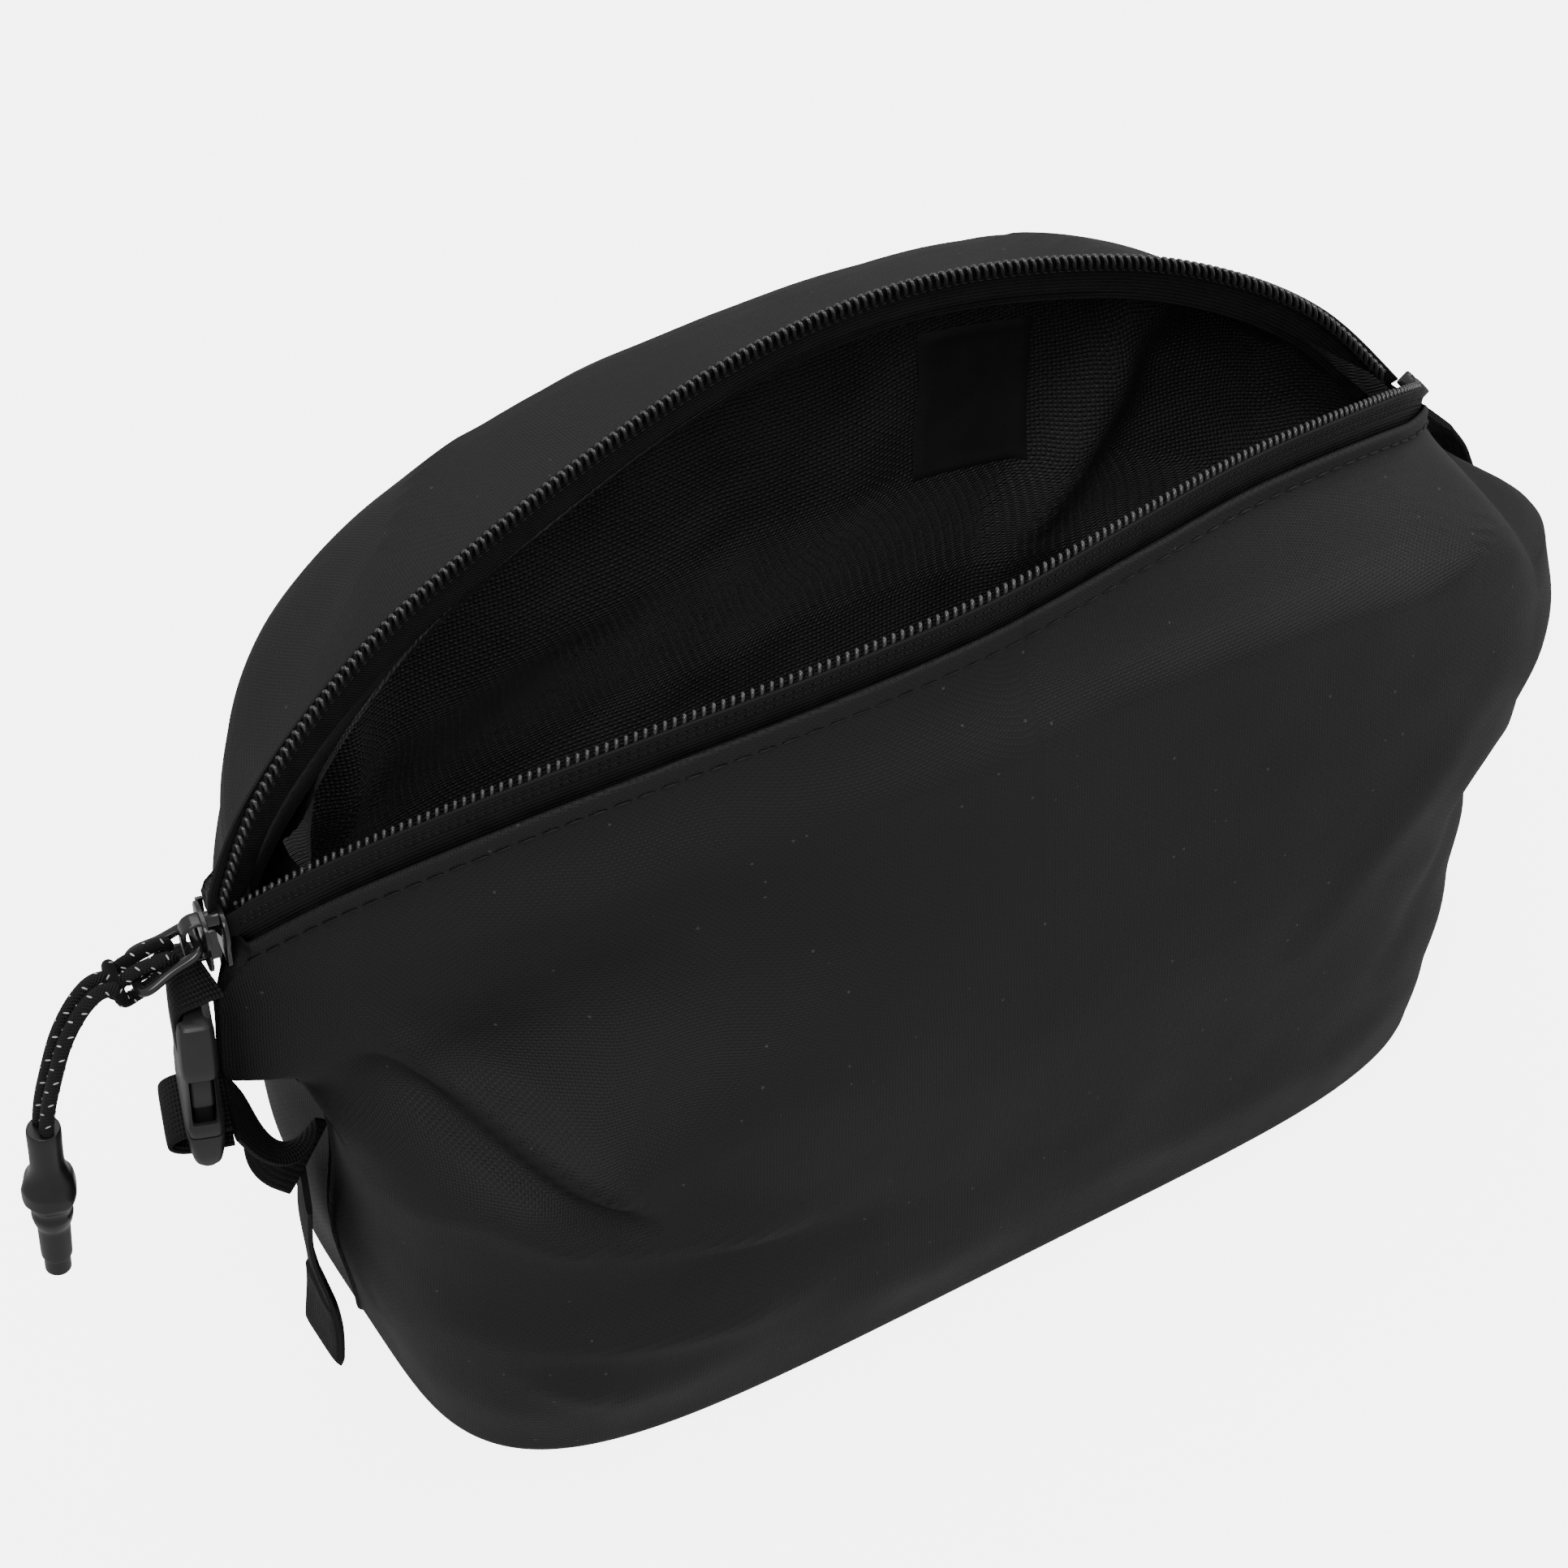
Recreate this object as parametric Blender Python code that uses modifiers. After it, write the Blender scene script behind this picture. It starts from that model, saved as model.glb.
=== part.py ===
"""A soft wash bag with an open zip mouth, a side-release buckle at each end and a corded zip pull.

Metres, +Z up. +X runs along the bag towards its right end, -Y is the front.
The origin is on the surface that the bag stands on, under the middle of its base.
"""

import math

import bmesh
import bpy
from mathutils import Matrix, Vector

MM = 0.001
GAP = 0.3 * MM                # between pieces that touch

# Shell: half sizes of the sections at heights from 0 (base) to 1 (top edge of the fabric)
LEFT_REACH = [(0.0, 109), (0.3, 113), (0.52, 113), (0.62, 116), (0.74, 128), (0.9, 127), (1.0, 117)]
BACK_LEFT_REACH = [(0.0, 109), (0.3, 113), (0.52, 113), (0.62, 114), (0.74, 119), (0.86, 116), (1.0, 113)]
BACK_WING = 5.0 * MM          # how thick the back of the left wing is where it reaches past the back wall
RIGHT_REACH = [(0.0, 108), (0.28, 112), (0.42, 117), (0.62, 131), (0.75, 134), (0.9, 130), (1.0, 115)]
FRONT_DEPTH = [(0.0, 53.5), (0.14, 56), (0.45, 57), (0.85, 51), (1.0, 46)]
BACK_DEPTH = [(0.0, 50), (0.15, 53), (0.45, 55), (0.85, 55), (1.0, 53)]
# Section exponents: 0.5 is boxy, 1 is round, and over 1 pinches the end flat
LEFT_CORNER = [(0.0, 0.42), (0.5, 0.5), (0.75, 1.0), (1.0, 1.0)]
BACK_LEFT_CORNER = [(0.0, 0.42), (0.92, 0.5), (1.0, 1.0)]
RIGHT_CORNER = [(0.0, 0.4), (0.9, 0.5), (1.0, 1.0)]
FRONT_LEFT_END = [(0.0, 0.45), (0.5, 0.6), (0.72, 1.7), (1.0, 1.9)]
BACK_LEFT_END = [(0.0, 0.45), (0.5, 0.55), (0.92, 0.65), (1.0, 1.9)]
RIGHT_END = [(0.0, 0.45), (0.2, 0.5), (0.45, 0.68), (0.6, 0.68), (0.72, 0.55), (0.93, 0.5), (1.0, 1.9)]
# The dent that the strap draws in the left end seam: depth, height, spread in height and in depth
LEFT_PINCH = (3.0 * MM, 0.42, 0.14, 12 * MM)
# The right end seam, which its strap draws in between the two walls
RIGHT_SEAM_REACH = [(0.0, 108), (0.28, 109.5), (0.42, 111), (0.62, 119), (0.75, 121), (0.9, 119),
                    (1.0, 115)]
RIGHT_SEAM_WIDTH = 17 * MM
# Height at which each wall starts to lean in to its lip, at distances along the bag
FRONT_TURN = [(-30, 0.86), (80, 0.86), (110, 0.95)]
BACK_TURN = [(0, 0.92), (50, 0.935), (85, 0.98)]
WING_GAP = 1.6 * MM           # from the end seam's plane to each outer face of the flat wing
FABRIC = 1.1 * MM
LINING = 0.6 * MM
LINING_INSET = 3.6 * MM       # from the outer face of the shell to the lining's outer face
LINING_TOP = 0.80
COLUMNS = 36
ROWS = 12

# Zip: each lip is an arc of a circle, in a plane hinged on the chord between the zip's ends
ARC_RADIUS = 151.2 * MM
ARC_HALF_ANGLE = math.radians(53.2)
CHORD_MIDDLE = Vector((-5.5, 0.0, 117.8)) * MM
CHORD_RISE = 0.027            # the right end is a little higher than the left one
FRONT_TILT = math.radians(44)
BACK_TILT = math.radians(25)
TAPE_ABOVE_FABRIC = [(95, 6.5), (116, 1.5)]   # the fabric rises round the right end of the zip
TAPE_WIDTH = 10.0 * MM
TAPE = 0.5 * MM
COIL_WIDTH = 3.0 * MM
COIL = 1.6 * MM
TAPE_REACH = 0.88             # share of the half arc that the tape covers
COIL_REACH = 0.84

# Slider, pull and cord
SLIDER_LENGTH = 11.0 * MM
SLIDER_WIDTH = 8.6 * MM
PLATE = 0.9 * MM
CHANNEL = 2.2 * MM
WIRE = 0.8 * MM               # half the thickness of the pull's wire
CORD = 2.5 * MM

# Webbing and buckles
WEB_WIDTH = 15.0 * MM
WEB = 1.4 * MM
BUCKLE_WIDTH = 21.0 * MM
BUCKLE_THICK = 6.4 * MM
SOCKET_LENGTH = 26.0 * MM
PLUG_LENGTH = 8.5 * MM
BAR_THICK = 3.0 * MM
WALL = 1.2 * MM


def smooth(points, at):
    """A smooth value through (position, value) points, held level outside them."""
    if at <= points[0][0]:
        return points[0][1]
    for (a, low), (b, high) in zip(points, points[1:]):
        if at <= b:
            f = (at - a) / (b - a)
            return low + (high - low) * f * f * (3 - 2 * f)
    return points[-1][1]


def lip_rise(angle):
    """How far a lip stands from the chord between the zip's ends."""
    return ARC_RADIUS * (math.cos(angle) - math.cos(ARC_HALF_ANGLE))


def lip_point(t, tilt, side):
    """A point of a lip's top line: t is -1 at the left end and 1 at the right, side is -1 in front."""
    angle = t * ARC_HALF_ANGLE
    x = ARC_RADIUS * math.sin(angle)
    rise = lip_rise(angle)
    return CHORD_MIDDLE + Vector((x, side * rise * math.sin(tilt), rise * math.cos(tilt) + CHORD_RISE * x))


def lip_over(x, tilt, side):
    """The point of a lip's top line at a given x."""
    limit = ARC_RADIUS * math.sin(ARC_HALF_ANGLE)
    across = max(-limit, min(limit, x - CHORD_MIDDLE.x))
    return lip_point(math.asin(across / ARC_RADIUS) / ARC_HALF_ANGLE, tilt, side)


def column(f):
    """Where a column of the shell stands, from f in 0 to 1: closer together at its middle and ends."""
    half = 2 * f - 1
    return 0.5 + math.copysign(0.5 * math.sin(math.pi / 2 * half) ** 2, half)


def wall_point(side, s, v, inset=0.0):
    """A point of the shell: s runs from the left end seam to the right one, v from base to top."""
    angle = math.pi * (1 - s)
    along, out = math.cos(angle), max(math.sin(angle), 0.0)
    if along < 0:
        reach, corner, end = LEFT_REACH, LEFT_CORNER, FRONT_LEFT_END
        if side > 0:
            corner, end = BACK_LEFT_CORNER, BACK_LEFT_END
    else:
        reach, corner, end = RIGHT_REACH, RIGHT_CORNER, RIGHT_END
    tilt = FRONT_TILT if side < 0 else BACK_TILT
    depth = smooth(FRONT_DEPTH if side < 0 else BACK_DEPTH, v) * MM
    flat = smooth([(0.55, 0.0), (0.75, 1.0)], v) if along < 0 else 0.0
    y = depth * out ** smooth(end, v)
    far = smooth(reach, v) * MM
    if along > 0:
        far += (smooth(RIGHT_SEAM_REACH, v) * MM - far) * math.exp(-((y / RIGHT_SEAM_WIDTH) ** 2))
    lip = lip_over(math.copysign(far * abs(along) ** smooth(corner, v), along), tilt, side)
    turn = smooth(FRONT_TURN, lip.x / MM) if side < 0 else smooth(BACK_TURN, abs(lip.x) / MM)
    outside_tape = abs(lip.y) + FABRIC + 3 * GAP
    y += (outside_tape - y) * smooth([(turn, 0.0), (1.0, 1.0)], v)
    if along > 0:
        y = max(y, outside_tape * smooth([(0.75, 0.0), (0.88, 1.0)], v))
    y = max(y - inset, 0.0) + GAP + (WING_GAP - GAP) * flat
    full = far - inset
    if along < 0 < side:
        wing = math.exp(-((y / BACK_WING) ** 2))
        full = (smooth(BACK_LEFT_REACH, v) * MM - inset) * (1 - wing) + full * wing
    x = math.copysign(full * abs(along) ** smooth(corner, v), along)
    if along < 0:
        depth, height, tall, wide = LEFT_PINCH
        x += depth * math.exp(-((y / wide) ** 2) - ((v - height) / tall) ** 2)
    return Vector((x, side * y, v * (lip.z - smooth(TAPE_ABOVE_FABRIC, lip.x / MM) * MM)))


def inner_point(side, s, v, inset):
    """A point moved square to the shell's surface, towards the inside."""
    step = 0.01
    here = wall_point(side, s, v)
    along = wall_point(side, min(s + step, 1.0), v) - wall_point(side, max(s - step, 0.0), v)
    up = wall_point(side, s, min(v + step, 1.0)) - wall_point(side, s, max(v - step, 0.0))
    p = here + (up.cross(along) * -side).normalized() * inset
    return Vector((p.x, side * max(side * p.y, GAP), p.z))


def new_material(name, colour, roughness, metallic=0.0):
    material = bpy.data.materials.new(name)
    material.use_nodes = True
    shader = material.node_tree.nodes["Principled BSDF"]
    shader.inputs["Base Color"].default_value = (*colour, 1.0)
    shader.inputs["Roughness"].default_value = roughness
    shader.inputs["Metallic"].default_value = metallic
    return material


def set_parent(thing, parent, matrix):
    """Hangs a piece from a pivot and leaves it where the matrix puts it in the world."""
    if parent:
        thing.parent = parent
        thing.matrix_parent_inverse = parent.matrix_world.inverted()
    thing.matrix_world = matrix


def new_object(name, data, material, parent=None):
    thing = bpy.data.objects.new(name, data)
    parts.objects.link(thing)
    data.materials.append(material)
    set_parent(thing, parent, Matrix.Identity(4))
    return thing


def add_pivot(name, place, parent=None):
    """An empty on a joint's axis."""
    pivot = bpy.data.objects.new(name, None)
    pivot.empty_display_size = 10 * MM
    parts.objects.link(pivot)
    set_parent(pivot, parent, Matrix.Translation(place))
    bpy.context.view_layer.update()
    return pivot


def add_sheet(name, rows, thickness, material, parent=None, flip=False):
    """A sheet of fabric: an open grid of points with Solidify, which thickens it to one side."""
    bm = bmesh.new()
    grid = [[bm.verts.new(p) for p in row] for row in rows]
    for low, high in zip(grid, grid[1:]):
        for i in range(len(low) - 1):
            corners = (low[i], low[i + 1], high[i + 1], high[i])
            bm.faces.new(reversed(corners) if flip else corners)
    mesh = bpy.data.meshes.new(name)
    bm.to_mesh(mesh)
    bm.free()
    thing = new_object(name, mesh, material, parent)
    mesh.shade_smooth()
    shell = thing.modifiers.new("Thickness", "SOLIDIFY")
    shell.thickness = thickness
    shell.offset = -1.0
    shell.use_even_offset = True
    return thing


def add_block(name, size, place, turn=None, round_by=0.0):
    """A box with its size applied and its edges rounded, as a loose object."""
    bpy.ops.mesh.primitive_cube_add(size=1)
    thing = bpy.context.active_object
    thing.name = name
    thing.data.transform(Matrix.Diagonal((*size, 1.0)))
    if round_by:
        bevel = thing.modifiers.new("Edges", "BEVEL")
        bevel.width = round_by
        bevel.segments = 2
    thing.matrix_world = Matrix.Translation(place) @ (turn or Matrix.Identity(4))
    for owner in list(thing.users_collection):
        owner.objects.unlink(thing)
    return thing


def combine(thing, others, operation):
    """Boolean modifiers that join or cut others into a piece."""
    for other in others:
        cutters.objects.link(other)
        other.hide_render = True
        other.display_type = "WIRE"
        step = thing.modifiers.new(other.name, "BOOLEAN")
        step.operation = operation
        step.object = other


def add_roller(name, radius, length, place, turn):
    bpy.ops.mesh.primitive_cylinder_add(vertices=20, radius=radius, depth=length)
    thing = bpy.context.active_object
    thing.name = name
    thing.matrix_world = Matrix.Translation(place) @ turn
    for owner in list(thing.users_collection):
        owner.objects.unlink(thing)
    return thing


def place_piece(thing, material, parent=None):
    parts.objects.link(thing)
    thing.data.materials.append(material)
    bpy.context.view_layer.update()
    set_parent(thing, parent, thing.matrix_world.copy())


def smooth_path(points, count):
    """Evenly numbered points on a Catmull-Rom curve through a few chosen points."""
    points = [Vector(p) for p in points]
    ends = [points[0] * 2 - points[1], *points, points[-1] * 2 - points[-2]]
    path = []
    for i in range(count):
        at = i / (count - 1) * (len(points) - 1)
        k = min(int(at), len(points) - 2)
        f = at - k
        a, b, c, d = ends[k:k + 4]
        path.append(0.5 * (2 * b + (c - a) * f + (2 * a - 5 * b + 4 * c - d) * f ** 2
                           + (3 * b - 3 * c + d - a) * f ** 3))
    return path


def add_tube(name, path, radius, material, parent=None, closed=False):
    data = bpy.data.curves.new(name, "CURVE")
    data.dimensions = "3D"
    data.bevel_depth = radius
    data.bevel_resolution = 2
    data.use_fill_caps = not closed
    spline = data.splines.new("POLY")
    spline.points.add(len(path) - 1)
    for point, place in zip(spline.points, path):
        point.co = (*place, 1.0)
    spline.use_cyclic_u = closed
    return new_object(name, data, material, parent)


def build_shell():
    for word, side in (("front", -1), ("back", 1)):
        rows = [[wall_point(side, column(i / COLUMNS), j / ROWS) for i in range(COLUMNS + 1)]
                for j in range(ROWS + 1)]
        add_sheet(word + "_panel", rows, FABRIC, shell_fabric, flip=side > 0)
        rows = [lining_row(side, j / ROWS) for j in range(ROWS + 1)]
        add_sheet(word + "_lining", rows, LINING, lining_fabric, flip=side > 0)
    add_floor("base_panel", FABRIC + 5 * GAP, 0.0, FABRIC, shell_fabric)
    add_floor("base_lining", LINING_INSET + LINING + 5 * GAP, FABRIC + GAP, LINING, lining_fabric)
    rows = [[inner_point(1, 0.534 + 0.041 * i / 4, 0.60 + 0.22 * j / 4, LINING_INSET + LINING + GAP)
             for i in range(5)] for j in range(5)]
    add_sheet("inner_label", rows, LINING, label_fabric, flip=True)


def lining_row(side, f):
    """One row of the lining, which stops short of the flat wing and of the zip."""
    lowest = (FABRIC + GAP) / (100 * MM)
    v = lowest + (LINING_TOP - lowest) * f
    short = smooth([(0.42, 0.0), (0.62, 0.13 if side < 0 else 0.08)], v)
    return [inner_point(side, short + (1 - short) * column(i / COLUMNS), v, LINING_INSET)
            for i in range(COLUMNS + 1)]


def add_floor(name, inset, height, thickness, material):
    """A flat sheet that fills the foot of the walls."""
    bm = bmesh.new()
    rim = []
    for side, steps in ((-1, range(1, COLUMNS)), (1, range(COLUMNS - 1, 0, -1))):
        for i in steps:
            p = wall_point(side, column(i / COLUMNS), 0.0, inset)
            rim.append(bm.verts.new((p.x, p.y, height + thickness)))
    bm.faces.new(rim)
    mesh = bpy.data.meshes.new(name)
    bm.to_mesh(mesh)
    bm.free()
    thing = new_object(name, mesh, material)
    shell = thing.modifiers.new("Thickness", "SOLIDIFY")
    shell.thickness = thickness
    shell.offset = -1.0


def build_zip():
    for word, side, tilt in (("front", -1, FRONT_TILT), ("back", 1, BACK_TILT)):
        pivot = add_pivot(word + "_lip_axis", CHORD_MIDDLE)
        outward = Vector((0, side, 0))
        tape_rows = []
        coil_rows = []
        for i in range(COLUMNS + 1):
            f = 2 * i / COLUMNS - 1
            top = lip_point(f * TAPE_REACH, tilt, side)
            tape_rows.append([top - Vector((0, 0, TAPE_WIDTH * j / 2)) for j in (2, 1, 0)])
            coil_top = lip_point(f * COIL_REACH, tilt, side) - outward * (GAP + TAPE)
            coil_rows.append([coil_top - Vector((0, 0, COIL_WIDTH * j)) for j in (1, 0)])
        add_sheet(word + "_zip_tape", tape_rows, TAPE, tape_fabric, pivot, flip=side < 0)
        add_sheet(word + "_zip_coil", coil_rows, COIL, coil_nylon, pivot, flip=side < 0)
    end = lip_point(1, 0.0, 1)
    stop = add_block("zip_bottom_stop", (4 * MM, 5 * MM, 3 * MM), end + Vector((1.0, 0, 1.5)) * MM,
                     Matrix.Rotation(ARC_HALF_ANGLE, 4, "Y"), 0.5 * MM)
    place_piece(stop, slider_metal)


def add_slider():
    """The slider's two plates, joined by its nose, with a bridge that holds the pull."""
    out = Vector((-0.985, 0.17, 0.0)).normalized()
    up = Vector((0, 0, 1))
    turn = Matrix((up, out.cross(up), out)).transposed().to_4x4()
    place = Matrix.Translation(Vector((-125.6, 0, 112.2)) * MM) @ turn
    pivot = add_pivot("slider_axis", CHORD_MIDDLE - Vector((0, 0, ARC_RADIUS * math.cos(ARC_HALF_ANGLE))))
    level = (CHANNEL + PLATE) / 2

    def block(name, size, at, round_by=0.0):
        return add_block(name, size, place @ Vector(at), turn, round_by)

    body = block("slider_body", (SLIDER_LENGTH, SLIDER_WIDTH, PLATE), (0, 0, level), 0.3 * MM)
    lower = block("lower_plate", (SLIDER_LENGTH, SLIDER_WIDTH, PLATE), (0, 0, -level), 0.3 * MM)
    nose = block("nose", (3 * MM, 2.4 * MM, CHANNEL + PLATE), (3.2 * MM, 0, 0))
    posts = [block("post", (1.4 * MM, 2 * MM, 2.8 * MM), (x, 0, level + 1.5 * MM)) for x in (-3.2 * MM, 3.2 * MM)]
    bar = block("bar", (7.8 * MM, 2.2 * MM, 1.0 * MM), (0, 0, level + 3.1 * MM), 0.3 * MM)
    combine(body, [lower, nose, *posts, bar], "UNION")
    place_piece(body, slider_metal, pivot)
    return place @ Vector((0, 0, level + 1.5 * MM)), out, pivot


def add_pull(hinge, out, slider_pivot):
    """A bent wire loop through the bridge, and the doubled cord that is looped round its far end."""
    pivot = add_pivot("pull_axis", hinge, slider_pivot)
    reach = out * 10.6 * MM - Vector((0, 0, 4.6 * MM))
    across = Vector((out.y, -out.x, 0))
    outline = [(0.0, 0.0), (0.0, 2.4), (0.12, 3.5), (0.5, 3.8), (0.85, 4.6), (0.99, 3.6), (1.0, 0.0)]
    half = smooth_path([(a, b, 0) for a, b in outline], 14)
    ring = [(p.x, p.y) for p in half] + [(p.x, -p.y) for p in reversed(half[1:-1])]
    add_tube("pull_wire", [hinge + reach * a + across * b * MM for a, b in ring], WIRE, slider_metal,
             pivot, closed=True)
    end = hinge + reach
    swing = add_pivot("cord_axis", end, pivot)
    along = across.to_track_quat("Z", "Y").to_matrix().to_4x4()
    hitch = add_roller("cord_hitch", 3.5 * MM, 5.4 * MM, end, along)
    bore = add_roller("hitch_bore", WIRE + 0.5 * MM, 9 * MM, end, along)
    combine(hitch, [bore], "DIFFERENCE")
    place_piece(hitch, cord_braid, swing)
    sleeve_top = Vector((-159.3, 0.0, 84.5)) * MM
    for name, y in (("cord_strand_front", -1.4), ("cord_strand_rear", 1.4)):
        route = [(end.x / MM - 3.9, y + 1.6, 108.8), (-146.3, y + 1.2, 109.6), (-149.9, y + 0.8, 107.2),
                 (-153.4, y + 0.5, 102.2), (-156.2, y + 0.2, 95.6), (-158.2, y, 89.9), (-159.3, y, 84.8)]
        add_tube(name, smooth_path([Vector(p) * MM for p in route], 14), CORD / 2, cord_braid, swing)
    add_sleeve(sleeve_top, swing)


def add_sleeve(top, swing):
    """A shrunk tube over the cord's knotted ends, as a turned shape."""
    outline = [(0.0, 0.0), (2.9, 0.0), (2.9, 8.0), (4.3, 12.0), (4.6, 14.5), (3.9, 17.5), (3.3, 19.0),
               (3.6, 21.0), (2.8, 23.5), (2.6, 31.0), (2.3, 31.6), (2.2, 34.6), (1.9, 35.0), (0.0, 35.0)]
    bm = bmesh.new()
    verts = [bm.verts.new((r * MM, 0, -d * MM)) for r, d in outline]
    for a, b in zip(verts, verts[1:]):
        bm.edges.new((a, b))
    mesh = bpy.data.meshes.new("cord_sleeve")
    bm.to_mesh(mesh)
    bm.free()
    thing = new_object("cord_sleeve", mesh, sleeve_rubber)
    turned = thing.modifiers.new("Turn", "SCREW")
    turned.steps = turned.render_steps = 20
    turned.use_merge_vertices = True
    turned.merge_threshold = 0.00001
    turned.use_smooth_shade = True
    set_parent(thing, swing, Matrix.Translation(top) @ Matrix.Rotation(math.radians(4), 4, "Y"))


def buckle_axes(place, across, down):
    """A buckle's own axes: X across its width, -Z down its length, Y through its thickness."""
    z = -down.normalized()
    x = (across - across.dot(z) * z).normalized()
    return Matrix.Translation(place) @ Matrix((x, z.cross(x), z)).transposed().to_4x4()


def add_buckle(word, axes):
    """A side-release buckle: the socket on the tab, the plug on the strap and its two sprung prongs."""
    turn = axes.to_3x3().to_4x4()
    pivot = add_pivot(word + "_buckle_axis", axes.translation)

    def block(name, size, at, round_by=0.0):
        return add_block(name, size, axes @ Vector(at), turn, round_by)

    top = 3.4 * MM
    foot = top - SOCKET_LENGTH - GAP
    deep = BUCKLE_THICK + 4 * MM
    socket = block(word + "_buckle_socket", (BUCKLE_WIDTH, BUCKLE_THICK, SOCKET_LENGTH),
                   (0, 0, top - SOCKET_LENGTH / 2), 1.2 * MM)
    cavity = block("cavity", (BUCKLE_WIDTH - 2 * WALL, BUCKLE_THICK - 2 * WALL, 19 * MM),
                   (0, 0, foot + 9 * MM))
    slot = block("web_slot", (WEB_WIDTH + 1 * MM, deep, 2.8 * MM), (0, 0, -2.4 * MM))
    thinned = [block("thinned", (WEB_WIDTH + 1 * MM, 4 * MM, 8 * MM),
                     (0, sign * (BAR_THICK / 2 + 2 * MM), 0.2 * MM)) for sign in (-1, 1)]
    window = block("windows", (BUCKLE_WIDTH + 6 * MM, BUCKLE_THICK - 2 * WALL - 0.2 * MM, 11.4 * MM),
                   (0, 0, foot + 12.0 * MM))
    combine(socket, [cavity, slot, *thinned, window], "DIFFERENCE")
    place_piece(socket, buckle_plastic, pivot)

    plug = block(word + "_buckle_plug", (BUCKLE_WIDTH, BUCKLE_THICK, PLUG_LENGTH),
                 (0, 0, foot - PLUG_LENGTH / 2), 1.2 * MM)
    tongue = block("tongue", (5 * MM, 2.6 * MM, 15 * MM), (0, 0, foot + 5.5 * MM))
    slots = [block("ladder_slot", (WEB_WIDTH + 1 * MM, deep, 2.2 * MM), (0, 0, foot - drop * MM))
             for drop in (2.6, 6.4)]
    combine(plug, [tongue], "UNION")
    combine(plug, slots, "DIFFERENCE")
    place_piece(plug, buckle_plastic, pivot)

    for sign, end in ((-1, "front"), (1, "rear")):
        flex = add_pivot(f"{word}_prong_{end}_axis", axes @ Vector((sign * 6.2 * MM, 0, foot + 0.6 * MM)), pivot)
        prong = block(f"{word}_prong_{end}", (1.8 * MM, 3.2 * MM, 14.4 * MM),
                      (sign * 6.6 * MM, 0, foot + 7.9 * MM))
        head = block("head", (2.4 * MM, 3.2 * MM, 9.0 * MM), (sign * 7.8 * MM, 0, foot + 10.6 * MM))
        combine(prong, [head], "UNION")
        place_piece(prong, buckle_plastic, flex)
    return pivot


def add_webbing(word, axes, tab_route, seam, pivot):
    """The tab that holds the socket, and the strap that runs through the plug and back to a free tail."""
    across = (axes.to_3x3() @ Vector((1, 0, 0))).normalized()
    outer = Vector((math.copysign(1, axes.translation.x), 0, 0))
    outer = (outer - outer.dot(across) * across).normalized()
    up = Vector((0, 0, 1))

    def near(place, away, high):
        return place + outer * away * MM + up * high * MM

    bar = axes.translation
    route = tab_route + [near(bar, 1.9, 4.5), near(bar, 2.7, 1.8), near(bar, 2.3, -1.2),
                         near(bar, 0.8, -2.5), near(bar, -1.2, -2.5)]
    add_strip(word + "_tab", route, across, across, 1)

    foot = axes @ Vector((0, 0, 3.4 * MM - SOCKET_LENGTH - GAP))
    route = [near(foot, -4.4, -2.5), near(foot, 3.6, -2.5), near(foot, 6.2, -4.4), near(foot, 3.6, -6.3),
             near(foot, -4.4, -6.4)]
    add_strip(word + "_strap_loop", route, across, across, 1, pivot)

    start = near(foot, -8.0, -6.0)
    route = [seam, seam.lerp(start, 0.3) + outer * 0.5 * MM, seam.lerp(start, 0.7) + outer * 0.6 * MM, start]
    add_strip(word + "_strap", route, across, across, 1)
    tail_width = (across - outer * 0.5).normalized()
    x = seam.x + outer.x * 4.0 * MM
    route = [Vector((x, -1 * MM, 34 * MM)), Vector((x, -2 * MM, 24 * MM)), Vector((x, -3 * MM, 12 * MM)),
             Vector((x + outer.x * 1.5 * MM, -4 * MM, 1.8 * MM))]
    add_strip(word + "_strap_tail", route, tail_width, tail_width, 1)


def add_strip(name, route, first_width, last_width, turn_over, parent=None):
    """A strip of webbing along a route, whose width turns from one direction to another."""
    count = 14
    path = smooth_path(route, count)
    rows = []
    for i, p in enumerate(path):
        f = min(1.0, i / turn_over)
        w = first_width.lerp(last_width, f * f * (3 - 2 * f)).normalized()
        ahead = (path[min(i + 1, count - 1)] - path[max(i - 1, 0)]).normalized()
        w = (w - w.dot(ahead) * ahead).normalized()
        rows.append([p + w * WEB_WIDTH * k / 6 for k in (-3, -1, 1, 3)])
    thing = add_sheet(name, rows, WEB, webbing, parent)
    thing.modifiers["Thickness"].offset = 0.0


# --- the model ---------------------------------------------------------------------------------
for old in list(bpy.data.objects):
    bpy.data.objects.remove(old, do_unlink=True)
parts = bpy.data.collections.new("wash_bag")
cutters = bpy.data.collections.new("cutters")
for group in (parts, cutters):
    bpy.context.scene.collection.children.link(group)

shell_fabric = new_material("shell_fabric", (0.014, 0.014, 0.015), 0.62)
lining_fabric = new_material("lining_fabric", (0.010, 0.010, 0.011), 0.75)
label_fabric = new_material("label_fabric", (0.008, 0.008, 0.008), 0.5)
tape_fabric = new_material("tape_fabric", (0.012, 0.012, 0.013), 0.7)
coil_nylon = new_material("coil_nylon", (0.02, 0.02, 0.021), 0.3)
slider_metal = new_material("slider_metal", (0.03, 0.03, 0.032), 0.25, 0.9)
cord_braid = new_material("cord_braid", (0.02, 0.02, 0.02), 0.6)
sleeve_rubber = new_material("sleeve_rubber", (0.02, 0.02, 0.02), 0.35)
webbing = new_material("webbing", (0.012, 0.012, 0.013), 0.7)
buckle_plastic = new_material("buckle_plastic", (0.02, 0.02, 0.021), 0.35)

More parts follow.
